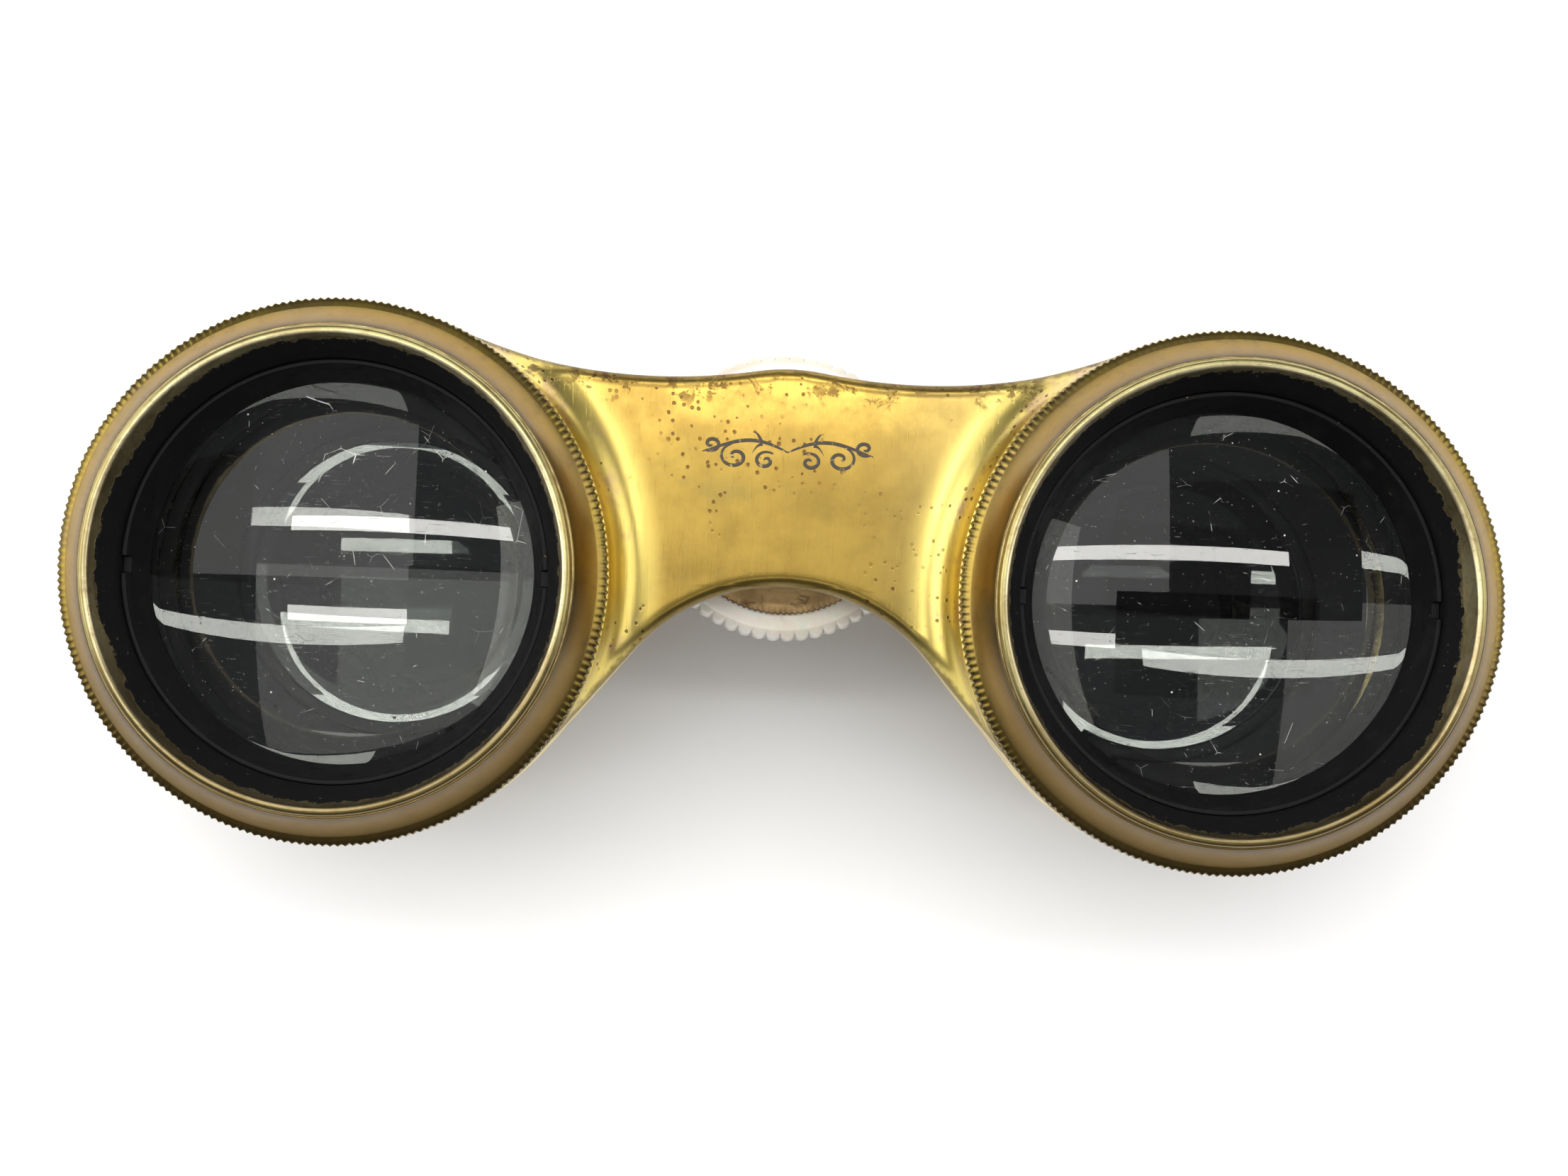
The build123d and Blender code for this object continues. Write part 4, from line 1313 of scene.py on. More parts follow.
@dataclass
class Bridges:
    """The three bridges; the ornament on the front one is made apart."""

    brass: bpy.types.Material
    line: bpy.types.Material
    sheet: float = 0.85
    collar_step: float = 3.5
    collar_fillet: float = 2.8
    flange_proud: float = 0.05
    lobe_margin: float = 2.3
    seat_fit: float = 0.05
    spindle_hole: float = 2.6

    def lobe_of(self, node: str) -> float:
        """Radius of a bridge's lobes.

        Args:
            node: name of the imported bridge.

        Returns:
            The radius in millimetres.
        """
        low, high = box_mm(node)
        return float(high[0] - low[0]) / 2 - self.half_spacing

    @property
    def half_spacing(self) -> float:
        """Half the distance between the optical axes."""
        return axis_of("right_barrel_tube")[0]

    def front(self) -> bpy.types.Object:
        """Make the stamped front bridge.

        Returns:
            The bridge.
        """
        low, high = levels("front_bridge")
        lobe = self.lobe_of("front_bridge")
        shape = BridgeShape(
            BridgeOutline(self.half_spacing, lobe),
            bore=lobe - self.lobe_margin + self.seat_fit,
            face=high - self.collar_step,
            skirt=low,
            edge_round=0.95,
            collar_step=self.collar_step,
            collar_radius=lobe + self.flange_proud,
            collar_fillet=self.collar_fillet,
        )
        bridge = shape.make("front_bridge_sheet")
        self.thicken(bridge)
        return fit(bridge, Body.BARRELS, self.brass, ["front_bridge"])

    def rear(self) -> bpy.types.Object:
        """Make the stamped rear bridge, its face towards the eyes.

        Returns:
            The bridge.
        """
        low, high = levels("rear_bridge")
        lobe = self.lobe_of("rear_bridge")
        shape = BridgeShape(
            BridgeOutline(self.half_spacing, lobe),
            bore=lobe - self.lobe_margin - 0.8,
            face=low,
            skirt=low - (high - low),
            edge_round=0.5,
            rows=40,
        )
        bridge = shape.make("rear_bridge_sheet", downward=True)
        self.thicken(bridge)
        self.pierce(bridge, axis_of("focus_spindle"), self.spindle_hole, (low - 2.0, low + 2.0))
        return fit(bridge, Body.BARRELS, self.brass, ["rear_bridge"])

    def ocular(self) -> bpy.types.Object:
        """Make the flat bridge that joins the draw tubes.

        Returns:
            The bridge.
        """
        low, high = levels("ocular_bridge")
        shape = BridgeShape(
            BridgeOutline(self.half_spacing, self.lobe_of("ocular_bridge")),
            bore=(box_mm("right_draw_tube")[1][0] - self.half_spacing) + self.seat_fit,
            face=high,
            skirt=(low + high) / 2,
            edge_round=0.4,
            bore_wall=(high - low) / 2,
            rows=44,
        )
        bridge = self.closed_plate(shape, low, high)
        return fit(bridge, Body.EYEPIECES, self.brass, ["ocular_bridge"])

    def closed_plate(self, shape: BridgeShape, low: float, high: float) -> bpy.types.Object:
        """Make a plate whose two faces mirror each other.

        Args:
            shape: the upper half, down to the middle.
            low: bottom of the plate.
            high: top of the plate.

        Returns:
            The plate.
        """
        plate = shape.make("ocular_bridge_plate")
        work = bmesh.new()
        work.from_mesh(plate.data)
        middle = (low + high) / 2 * MM
        half = bmesh.ops.duplicate(work, geom=work.verts[:] + work.edges[:] + work.faces[:])
        verts = [v for v in half["geom"] if isinstance(v, bmesh.types.BMVert)]
        faces = [f for f in half["geom"] if isinstance(f, bmesh.types.BMFace)]
        for vert in verts:
            vert.co.z = 2 * middle - vert.co.z
        bmesh.ops.reverse_faces(work, faces=faces)
        bmesh.ops.remove_doubles(work, verts=work.verts, dist=0.004 * MM)
        work.to_mesh(plate.data)
        work.free()
        plate.data.shade_smooth()
        plate.data.set_sharp_from_angle(angle=math.radians(38))
        return plate

    def pierce(
        self, bridge: bpy.types.Object, centre: Point, radius: float, span: tuple[float, float]
    ) -> None:
        """Cut a round hole through a bridge.

        Args:
            bridge: the bridge.
            centre: x and y of the hole.
            radius: radius of the hole.
            span: lowest and highest z of the cut.
        """
        drill = bpy.data.objects.new("drill", bpy.data.meshes.new("drill"))
        work = bmesh.new()
        size = radius * MM
        length = (span[1] - span[0]) * MM
        bmesh.ops.create_cone(
            work, cap_ends=True, segments=96, radius1=size, radius2=size, depth=length,
            matrix=Matrix.Translation(Vector((centre[0], centre[1], (span[0] + span[1]) / 2)) * MM),
        )
        work.to_mesh(drill.data)
        work.free()
        bpy.context.scene.collection.objects.link(drill)
        cut = bridge.modifiers.new("hole", "BOOLEAN")
        cut.operation, cut.solver, cut.object = "DIFFERENCE", "EXACT", drill
        shown = bridge.evaluated_get(bpy.context.evaluated_depsgraph_get())
        bridge.data = bpy.data.meshes.new_from_object(shown)
        bridge.modifiers.clear()
        bpy.data.objects.remove(drill)

    def thicken(self, bridge: bpy.types.Object) -> None:
        """Give a sheet surface its thickness, inwards."""
        wall = bridge.modifiers.new("sheet", "SOLIDIFY")
        wall.thickness = self.sheet * MM
        wall.offset = -1.0
        wall.use_even_offset = False
        wall.use_quality_normals = True

    def make(self) -> None:
        """Make the three bridges."""
        self.front()
        self.rear()
        self.ocular()


@dataclass
class ScrollOrnament:
    """Plain symmetric scroll engraved in the middle of the saddle."""

    finish: bpy.types.Material
    centre_y: float = 9.7
    width: float = 12.2
    line: float = 0.27
    sides: int = 8

    def strokes(self) -> list[np.ndarray]:
        """Lines of the right half and the middle.

        Returns:
            Arrays of (x, y, line width).
        """
        half = self.width / 2
        made: list[np.ndarray] = []
        t = np.linspace(0, 1, 90)
        stem_x = half * t
        stem_y = 0.95 * np.sin(math.pi * t * 1.05) * (1 - 0.35 * t)
        swell = 0.35 + 0.65 * np.sin(math.pi * np.clip(t * 1.02, 0, 1)) ** 0.8
        made.append(np.column_stack([stem_x, stem_y, swell]))
        for centre_x, centre_y, size, turns, start in (
            (half * 0.62, -0.38, 1.02, 1.35, 1.35),
            (half * 0.26, -0.62, 0.74, 1.25, 2.3),
            (half * 0.90, 0.46, 0.62, 1.2, -0.9),
        ):
            share = np.linspace(0, 1, 110)
            angle = start - share * turns * math.tau
            radius = size * (1 - share) ** 0.85 + 0.07
            made.append(
                np.column_stack(
                    [
                        centre_x + radius * np.cos(angle),
                        centre_y + radius * 0.82 * np.sin(angle),
                        0.45 + 0.55 * np.sin(math.pi * share) ** 0.7,
                    ]
                )
            )
        leaf = np.linspace(0, 1, 50)
        for sign, length in ((1.0, 1.05), (-1.0, 0.85)):
            made.append(
                np.column_stack(
                    [
                        half * (0.30 + 0.12 * leaf),
                        0.55 + sign * length * leaf * (1 - 0.2 * leaf) + 0.22 * np.sin(math.pi * leaf),
                        1.0 - 0.9 * leaf,
                    ]
                )
            )
        return made

    def tube(self, stroke: np.ndarray, level: float) -> tuple[np.ndarray, list[list[int]]]:
        """Round bead of wax along a line, half sunk in the sheet.

        Args:
            stroke: array of (x, y, line width).
            level: z of the sheet's face.

        Returns:
            Points and faces.
        """
        run = np.gradient(stroke[:, :2], axis=0)
        run /= np.maximum(np.hypot(run[:, 0], run[:, 1])[:, None], 1e-9)
        side = np.column_stack([-run[:, 1], run[:, 0]])
        angles = np.linspace(0, math.tau, self.sides, endpoint=False)
        rings = []
        for place, across, width in zip(stroke[:, :2], side, stroke[:, 2]):
            half = max(width, 0.12) * self.line / 2
            lift = 0.018 * max(width, 0.2)
            rings.append([(*(place + across * half * math.cos(a)), level + lift * math.sin(a)) for a in angles])
        points = np.array(rings).reshape(-1, 3)
        faces = []
        for i in range(len(stroke) - 1):
            for k in range(self.sides):
                m = (k + 1) % self.sides
                faces.append(
                    [
                        i * self.sides + k,
                        (i + 1) * self.sides + k,
                        (i + 1) * self.sides + m,
                        i * self.sides + m,
                    ],
                )
        faces.append([k for k in range(self.sides)])
        last = (len(stroke) - 1) * self.sides
        faces.append([last + k for k in reversed(range(self.sides))])
        return points, faces

    def make(self) -> bpy.types.Object:
        """Engrave the ornament.

        Returns:
            The engraved lines.
        """
        level = levels("front_bridge")[1] - 3.5
        points: list[np.ndarray] = []
        faces: list[list[int]] = []
        at = 0
        for stroke in self.strokes():
            for mirror in (1.0, -1.0):
                line = stroke * np.array([mirror, 1.0, 1.0]) + np.array([0.0, self.centre_y, 0.0])
                made, cover = self.tube(line, level)
                points.append(made)
                faces += [[k + at for k in face] for face in cover]
                at += len(made)
        ornament = build_mesh("engraved_scroll", np.concatenate(points), faces)
        work = bmesh.new()
        work.from_mesh(ornament.data)
        bmesh.ops.recalc_face_normals(work, faces=work.faces)
        work.to_mesh(ornament.data)
        work.free()
        return fit(ornament, Body.BARRELS, self.finish)


# ------------------------------------------------------------------------------------ objective end
@dataclass
class ObjectiveEnd:
    """Bezel, cell, lens and retainer of one barrel."""

    side: Side
    bezel: bpy.types.Material
    black: bpy.types.Material
    glass: bpy.types.Material
    collar: float
    lens_radius: float = 13.95
    bore: float = 14.85
    skirt_radius: float = 15.85
    rim_radius: float = 16.0
    bead: float = 0.7
    knurl_height: float = 1.4
    teeth: int = 226
    tooth_depth: float = 0.20

    def node(self, piece: str) -> str:
        """Name of one of this side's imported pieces."""
        return f"{self.side.value}_{piece}"

    def make_bezel(self) -> bpy.types.Object:
        """Make the bezel with its knurled flange, slope, groove and bead.

        Returns:
            The bezel.
        """
        node = self.node("objective_bezel")
        bottom, top = levels(node)
        low, high = box_mm(node)
        outer = float(high[0] - low[0]) / 2
        band = self.collar + self.knurl_height
        bead_outer = self.rim_radius + self.bead
        half_bead = self.bead / 2
        foot, head = np.array([outer - 0.7, band + 0.35]), np.array([bead_outer + 0.2, top - self.bead])
        chord = head - foot
        middle = (foot + head) / 2
        normal = np.array([-chord[1], chord[0]]) / np.hypot(*chord)
        slope_radius = 6.0
        reach = math.sqrt(slope_radius**2 - (np.hypot(*chord) / 2) ** 2)
        centre = middle - normal * reach if normal[0] < 0 else middle + normal * reach
        first = math.degrees(math.atan2(*(foot - centre)[::-1]))
        last = math.degrees(math.atan2(*(head - centre)[::-1]))
        slope = arc(centre, slope_radius, first, first + (last - first + 180) % 360 - 180, 14)
        bead_arc = arc((self.rim_radius + half_bead, top - half_bead), half_bead, 0, 180, 13)
        ledge_width = 0.6
        ledge = bottom + ledge_width
        front: list[Point] = [
            (self.rim_radius, top - half_bead, 0.05),
            (self.bore, band, 0.25),
            (self.bore, ledge, 0.05),
            (self.bore - ledge_width, ledge, 0.05),
            (self.bore - ledge_width, bottom, 0.05),
            (self.skirt_radius, bottom, 0.1),
            (self.skirt_radius, self.collar, 0.03),
            (outer, self.collar, 0.12),
            (outer, band, 0.14),
            (foot[0], foot[1], 0.05),
            *[(p[0], p[1], 0.0) for p in slope[1:-1]],
            (head[0], head[1], 0.05),
            (bead_outer + 0.05, top - self.bead - 0.02, 0.05),
            (bead_outer, top - half_bead, 0.05),
            *[(p[0], p[1], 0.0) for p in bead_arc[1:-1]],
        ]
        sign = self.side.outward

        def loss(turns: np.ndarray) -> np.ndarray:
            """Width of paint worn off the cone, most on the outer side."""
            out = np.clip(np.cos(turns) * sign, 0, 1) ** 1.6
            wobble = 0.25 * np.sin(turns * 3 + 1) + 0.18 * np.sin(turns * 7 + 2) + 0.12 * np.sin(turns * 13)
            return 0.10 + out * (0.75 + wobble) + 0.12 * wobble

        piece = Turning(
            self.node("bezel_turned"),
            axis_of(node),
            rounded(front, 0.06),
            segments=self.teeth * 6,
            fluting=Fluting(self.teeth, self.tooth_depth, outer - 0.55, outer - 0.22, uneven=0.35),
            longest=0.6,
            crease=48,
            paint_loss=loss,
        ).make()
        return fit(piece, Body.BARRELS, self.bezel, [node])

    def make_retainer(self) -> bpy.types.Object:
        """Make the coned screw ring with its two spanner notches.

        Returns:
            The ring.
        """
        node = self.node("lens_retainer")
        bottom, top = levels(node)
        inner, outer = self.lens_radius - 0.39, self.bore - 0.05
        outline = rounded(
            [
                (inner, bottom, 0.03), (outer, bottom, 0.05), (outer, top, 0.05),
                (outer - 0.3, top, 0.06), (inner, bottom + 0.35, 0.05),
            ]
        )

        def notch(radii: np.ndarray, heights: np.ndarray) -> tuple[np.ndarray, np.ndarray]:
            """Sink the top edge at the two notches."""
            turns = np.linspace(0, math.tau, radii.shape[1], endpoint=False)[None, :]
            beside = np.abs(radii * np.sin(turns)) < 0.6
            sunk = np.minimum(heights, top - 0.8)
            return radii, np.where(beside & (radii > outer - 1.05), sunk, heights)

        ring = Turning(
            self.node("retainer_ring"), axis_of(node), outline, segments=720, longest=0.25, shift=notch
        ).make()
        return fit(ring, Body.BARRELS, self.black, [node])

    def make_cell(self) -> bpy.types.Object:
        """Make the blackened ring behind the lens.

        Returns:
            The ring.
        """
        node = self.node("objective_cell")
        bottom, top = levels(node)
        inner, outer = self.lens_radius - 0.75, self.bore - 0.05
        pocket = self.lens_radius + 0.05
        outline = rounded(
            [
                (inner, bottom), (outer, bottom), (outer, top), (pocket, top),
                (pocket, bottom + 0.8, 0.03), (inner, bottom + 0.8, 0.05),
            ]
        )
        ring = Turning(self.node("cell_ring"), axis_of(node), outline, longest=0.6).make()
        return fit(ring, Body.BARRELS, self.black, [node])

    def make_lens(self) -> bpy.types.Object:
        """Make the biconvex objective with its ground edge.

        Returns:
            The lens.
        """
        node = self.node("objective_lens")
        bottom, top = levels(node)
        outline = LensForm(self.lens_radius, top, bottom, 45.3, -114.9).outline()
        lens = Turning(
            self.node("objective_glass"), axis_of(node), outline, segments=320, longest=1.0, crease=30
        ).make()
        return fit(lens, Body.BARRELS, self.glass, [node])

    def make(self) -> None:
        """Make all four pieces."""
        self.make_bezel()
        self.make_retainer()
        self.make_cell()
        self.make_lens()


@dataclass
class LensForm:
    """Section of a lens. A positive curve bulges out of its face and a negative one of the rear face too.

    For the front face a positive curve is convex; for the rear face a negative curve is convex.
    """

    radius: float
    front: float
    rear: float
    front_curve: float
    rear_curve: float
    dish: float = 0.0
    rows: int = 40

    def outline(self) -> np.ndarray:
        """Closed outline from the axis at the front round the edge to the axis at the rear.

        Returns:
            Array of (radius, z).
        """
        reach = self.dish or self.radius
        radii = np.linspace(0, reach, self.rows)
        front_sign = 1.0 if self.front_curve > 0 else -1.0
        rear_sign = 1.0 if self.rear_curve > 0 else -1.0
        front_depth = np.array([cap_depth(abs(self.front_curve), r) for r in radii])
        rear_depth = np.array([cap_depth(abs(self.rear_curve), r) for r in radii])
        if front_sign > 0:
            front = self.front - front_depth
        else:
            front = self.front - (front_depth[-1] - front_depth)
        if rear_sign < 0:
            rear = self.rear + rear_depth
        else:
            rear = self.rear + (rear_depth[-1] - rear_depth)
        bevel = 0.12
        edge: list[tuple[float, float]] = []
        if self.dish:
            edge += [(self.radius - bevel, self.front), (self.radius, self.front - bevel)]
            edge += [(self.radius, self.rear + bevel), (self.radius - bevel, self.rear)]
        else:
            edge += [(self.radius, front[-1] - bevel), (self.radius, rear[-1] + bevel)]
            radii = np.append(radii[:-1], self.radius - 0.05)
        top = list(zip(radii, front))
        back = list(zip(radii, rear))[::-1]
        return np.array(top + edge + back)[::-1]


# ------------------------------------------------------------------------------------ barrels
@dataclass
class Barrel:
    """Tapered tube, its pearl staves and the guide ring of one barrel."""

    side: Side
    brass: bpy.types.Material
    tube_wall: float = 0.8
    pearl: float = 1.05
    bed: float = 0.05
    seat: float = 1.5
    sheet: float = 0.85
    rear_radius: float = 14.9
    front_radius: float = 16.7
    staves: int = 8
    joint: float = 0.12

    def node(self, piece: str) -> str:
        """Name of one of this side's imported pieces."""
        return f"{self.side.value}_{piece}"

    @property
    def taper(self) -> tuple[float, float]:
        """Bottom and top of the tapered stretch."""
        return levels(self.node("barrel_tube"))[0] + self.seat, levels("front_bridge")[0] + 1.0

    def radius_at(self, z: np.ndarray) -> np.ndarray:
        """Outer radius of the tube at some heights.

        Args:
            z: the heights.

        Returns:
            The radii.
        """
        low, high = self.taper
        return np.interp(z, [low, high], [self.rear_radius, self.front_radius])

    def make_tube(self) -> bpy.types.Object:
        """Make the tapered tube.

        Returns:
            The tube.
        """
        node = self.node("barrel_tube")
        bottom, top = levels(node)
        low, high = self.taper
        wall = self.tube_wall
        outline = rounded(
            [
                (self.rear_radius - wall, bottom), (self.rear_radius, bottom), (self.rear_radius, low),
                (self.front_radius, high), (self.front_radius, top), (self.front_radius - wall, top),
                (self.front_radius - wall, high), (self.rear_radius - wall, low),
            ],
            0.08,
        )
        tube = Turning(self.node("tube_drawn"), axis_of(node), outline, longest=1.5).make()
        return fit(tube, Body.BARRELS, self.brass, [node])

    def make_guide(self) -> bpy.types.Object:
        """Make the lipped ring that the draw tube slides in.

        Returns:
            The ring.
        """
        node = self.node("draw_tube_guide")
        bottom, top = levels(node)
        low, high = box_mm(node)
        lip = float(high[0] - low[0]) / 2
        sleeve = self.rear_radius - self.tube_wall - 0.05
        bore = sleeve - 0.4
        face = levels("rear_bridge")[0]
        outline = rounded(
            [
                (bore, bottom, 0.15),
                (lip, bottom, 0.2),
                (lip, face, 0.03),
                (sleeve, face, 0.03),
                (sleeve, top),
                (bore, top),
            ]
        )
        ring = Turning(self.node("guide_ring"), axis_of(node), outline, longest=0.8).make()
        guide_brass = TurnedBrass(self.node("guide_brass"), black_from=face + 3.0).material()
        return fit(ring, Body.BARRELS, guide_brass, [node])

    def make_stave(self, number: int) -> bpy.types.Object:
        """Make one curved pearl stave with eased edges.

        Args:
            number: which stave, from 0.

        Returns:
            The stave.
        """
        node = self.node(f"pearl_stave_{number + 1}")
        bottom, top = levels(node)
        centre = axis_of(self.node("barrel_tube"))
        gap = self.joint / self.rear_radius
        spread = math.tau / self.staves - gap
        middle = math.tau * number / self.staves
        ease = 0.16
        columns = 26
        turns = np.linspace(-spread / 2, spread / 2, columns)
        section: list[tuple[float, float]] = []
        outer_in = [ease if i in (0, columns - 1) else 0.0 for i in range(columns)]
        section += [(t, self.bed + self.pearl - e) for t, e in zip(turns, outer_in)]
        inset = ease / self.rear_radius
        section.insert(1, (turns[0] + inset, self.bed + self.pearl - 0.02))
        section.insert(-1, (turns[-1] - inset, self.bed + self.pearl - 0.02))
        section += [(t, self.bed) for t in turns[::-1]]
        rows = [(bottom, ease), (bottom + 0.05, ease * 0.45), (bottom + ease, 0.0)]
        rows += [(z, 0.0) for z in np.linspace(bottom + ease, top - ease, 22)[1:-1]]
        rows += [(top - ease, 0.0), (top - 0.05, ease * 0.45), (top, ease)]
        points = []
        for z, sink in rows:
            base = float(self.radius_at(np.array(z)))
            for turn, out in section:
                radius = base + (out if out <= self.bed else out - sink)
                angle = middle + turn
                points.append(
                    (centre[0] + radius * math.cos(angle), centre[1] + radius * math.sin(angle), z)
                )
        count = len(section)
        faces = []
        for i in range(len(rows) - 1):
            for k in range(count):
                m = (k + 1) % count
                faces.append([i * count + k, i * count + m, (i + 1) * count + m, (i + 1) * count + k])
        half = count // 2
        for row, flip in ((0, False), (len(rows) - 1, True)):
            base = row * count
            for k in range(half - 1):
                face = [base + k, base + count - 1 - k, base + count - 2 - k, base + k + 1]
                faces.append(face if not flip else face[::-1])
        stave = build_mesh(self.node(f"stave_{number + 1}"), np.array(points), faces, crease=50)
        work = bmesh.new()
        work.from_mesh(stave.data)
        bmesh.ops.recalc_face_normals(work, faces=work.faces)
        work.to_mesh(stave.data)
        work.free()
        finish = MotherOfPearl(
            name=self.node(f"stave_{number + 1}_pearl"),
            shift=(17.0 * number + 40.0 * self.side.outward, 9.0 * number, 5.0 * number),
            saturation=0.34 + 0.05 * (number % 3),
        ).material()
        return fit(stave, Body.BARRELS, finish, [node])

    def make(self) -> None:
        """Make the tube, the guide and every stave."""
        self.make_tube()
        self.make_guide()
        for number in range(self.staves):
            self.make_stave(number)


# ------------------------------------------------------------------------------------ eyepieces
@dataclass
class Eyepiece:
    """Draw tube, baffle, eyecup with its pearl inlay, and the ocular of one side."""

    side: Side
    brass: bpy.types.Material
    cup: bpy.types.Material
    black: bpy.types.Material
    pearl: bpy.types.Material
    glass: bpy.types.Material
    tube_wall: float = 0.5
    eye_aperture: float = 6.2
    ocular_radius: float = 8.1
    dish_radius: float = 6.8
    dish_depth: float = 0.9

    def node(self, piece: str) -> str:
        """Name of one of this side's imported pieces."""
        return f"{self.side.value}_{piece}"

    def ring(
        self,
        piece: str,
        name: str,
        outline: np.ndarray,
        slot: str,
        finish: bpy.types.Material,
        longest: float = 0.7,
    ) -> bpy.types.Object:
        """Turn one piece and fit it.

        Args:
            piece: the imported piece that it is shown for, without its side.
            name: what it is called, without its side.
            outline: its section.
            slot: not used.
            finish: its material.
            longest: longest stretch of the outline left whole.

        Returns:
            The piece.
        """
        node = self.node(piece)
        made = Turning(self.node(name), axis_of(node), outline, longest=longest).make()
        return fit(made, Body.EYEPIECES, finish, [node])

    def make(self) -> None:
        """Make every piece of the eyepiece."""
        bottom, top = levels(self.node("draw_tube"))
        low, high = box_mm(self.node("draw_tube"))
        tube = float(high[0] - low[0]) / 2
        bore = tube - self.tube_wall
        outline = rounded([(bore, bottom), (tube, bottom), (tube, top), (bore, top)], 0.08)
        tube_brass = TurnedBrass(self.node("draw_tube_brass"), black_from=top - 3.0).material()
        self.ring("draw_tube", "sliding_tube", outline, "machined_brass", tube_brass)
        low_z, high_z = levels(self.node("draw_tube_baffle"))
        stop = [
            (bore - 1.1, low_z, 0.08),
            (bore - 0.05, low_z),
            (bore - 0.05, high_z),
            (bore - 1.1, high_z, 0.12),
        ]
        self.ring("draw_tube_baffle", "light_stop", rounded(stop), "black_lacquer", self.black, 0.3)
        self.make_cup(bore)
        self.make_ocular(bore)

    def make_cup(self, bore: float) -> None:
        """Make the eyecup and its pearl inlay.

        Args:
            bore: bore of the draw tube.
        """
        node = self.node("eyecup")
        low, high = box_mm(node)
        outer = float(high[0] - low[0]) / 2
        base, seat = levels("ocular_bridge")[0], 0.05
        neck = bore - seat
        neck_bore, neck_top = neck - 1.05, levels(node)[1]
        rim = outer - 0.3
        pocket = rim - 0.7 - 0.7
        lip = self.eye_aperture + 0.7
        waist = [
            (
                outer - 0.5 - 0.8 * math.sin(t) ** 0.9 + 0.5 * (t / math.pi) ** 2.2,
                base - 0.9 - (base - 2.1) * t / math.pi,
            )
            for t in np.linspace(0.12, math.pi - 0.1, 16)
        ]
        outline = rounded(
            [
                (outer, 1.2, 0.25), (outer, 0.3, 0.15), (rim, 0.0, 0.06), (rim - 0.7, 0.0, 0.06),
                (pocket, 0.7, 0.05), (pocket, 2.1, 0.0), (lip, 4.4, 0.0), (lip, 3.2, 0.04),
                (self.eye_aperture, 3.5, 0.1), (self.eye_aperture, 5.6, 0.1), (neck_bore, 5.6, 0.05),
                (neck_bore, neck_top, 0.08), (neck, neck_top, 0.08), (neck, base, 0.04),
                (outer - 0.5, base, 0.12), (outer - 0.5, base - 0.9, 0.08), *[(*p, 0.0) for p in waist],
            ]
        )
        self.ring("eyecup", "eyecup_turned", outline, "aged_brass", self.cup, 0.5)
        inner, rim_side = lip + seat, pocket - seat
        inlay = rounded(
            [(inner, 3.2, 0.12), (rim_side, 0.9, 0.15), (rim_side, 2.05, 0.05), (inner, 4.35, 0.05)]
        )
        self.ring("eyecup_inlay", "inlay_ring", inlay, "mother_of_pearl", self.pearl, 0.6)

    def make_ocular(self, bore: float) -> None:
        """Make the ocular's cell, lens and retainer.

        Args:
            bore: bore of the draw tube.
        """
        cell_low, cell_high = levels(self.node("ocular_cell"))
        front, rear = levels(self.node("ocular_lens"))[1], levels(self.node("ocular_lens"))[0]
        outer = bore - 0.05 - 1.05 - 0.05
        step, pocket = self.ocular_radius + 0.5, self.ocular_radius + 0.05
        cell = [
            (
                self.dish_radius, cell_low, 0.1
            ), (outer, cell_low), (outer, cell_high, 0.15), (step, cell_high, 0.1),
            (step, front, 0.03), (pocket, front, 0.03), (pocket, rear - 0.05, 0.03), (
                self.dish_radius, rear - 0.05, 0.08
            ),
        ]
        self.ring("ocular_cell", "ocular_mount", rounded(cell), "black_lacquer", self.black, 0.5)
        curve = (self.dish_radius**2 + self.dish_depth**2) / (2 * self.dish_depth)
        form = LensForm(self.ocular_radius, front, rear, -curve, curve, self.dish_radius)
        lens = Turning(
            self.node("ocular_glass"), axis_of(
                self.node("ocular_lens")
            ), form.outline(), segments=256, longest=0.8, crease=25
        ).make()
        fit(lens, Body.EYEPIECES, self.glass, [self.node("ocular_lens")])
        low, high = levels(self.node("ocular_retainer"))
        inner = self.ocular_radius - 0.3
        ring = [(inner, low, 0.03), (step - 0.05, low), (step - 0.05, high, 0.08), (inner, high, 0.2)]
        self.ring("ocular_retainer", "ocular_ring", rounded(ring), "black_lacquer", self.black, 0.3)


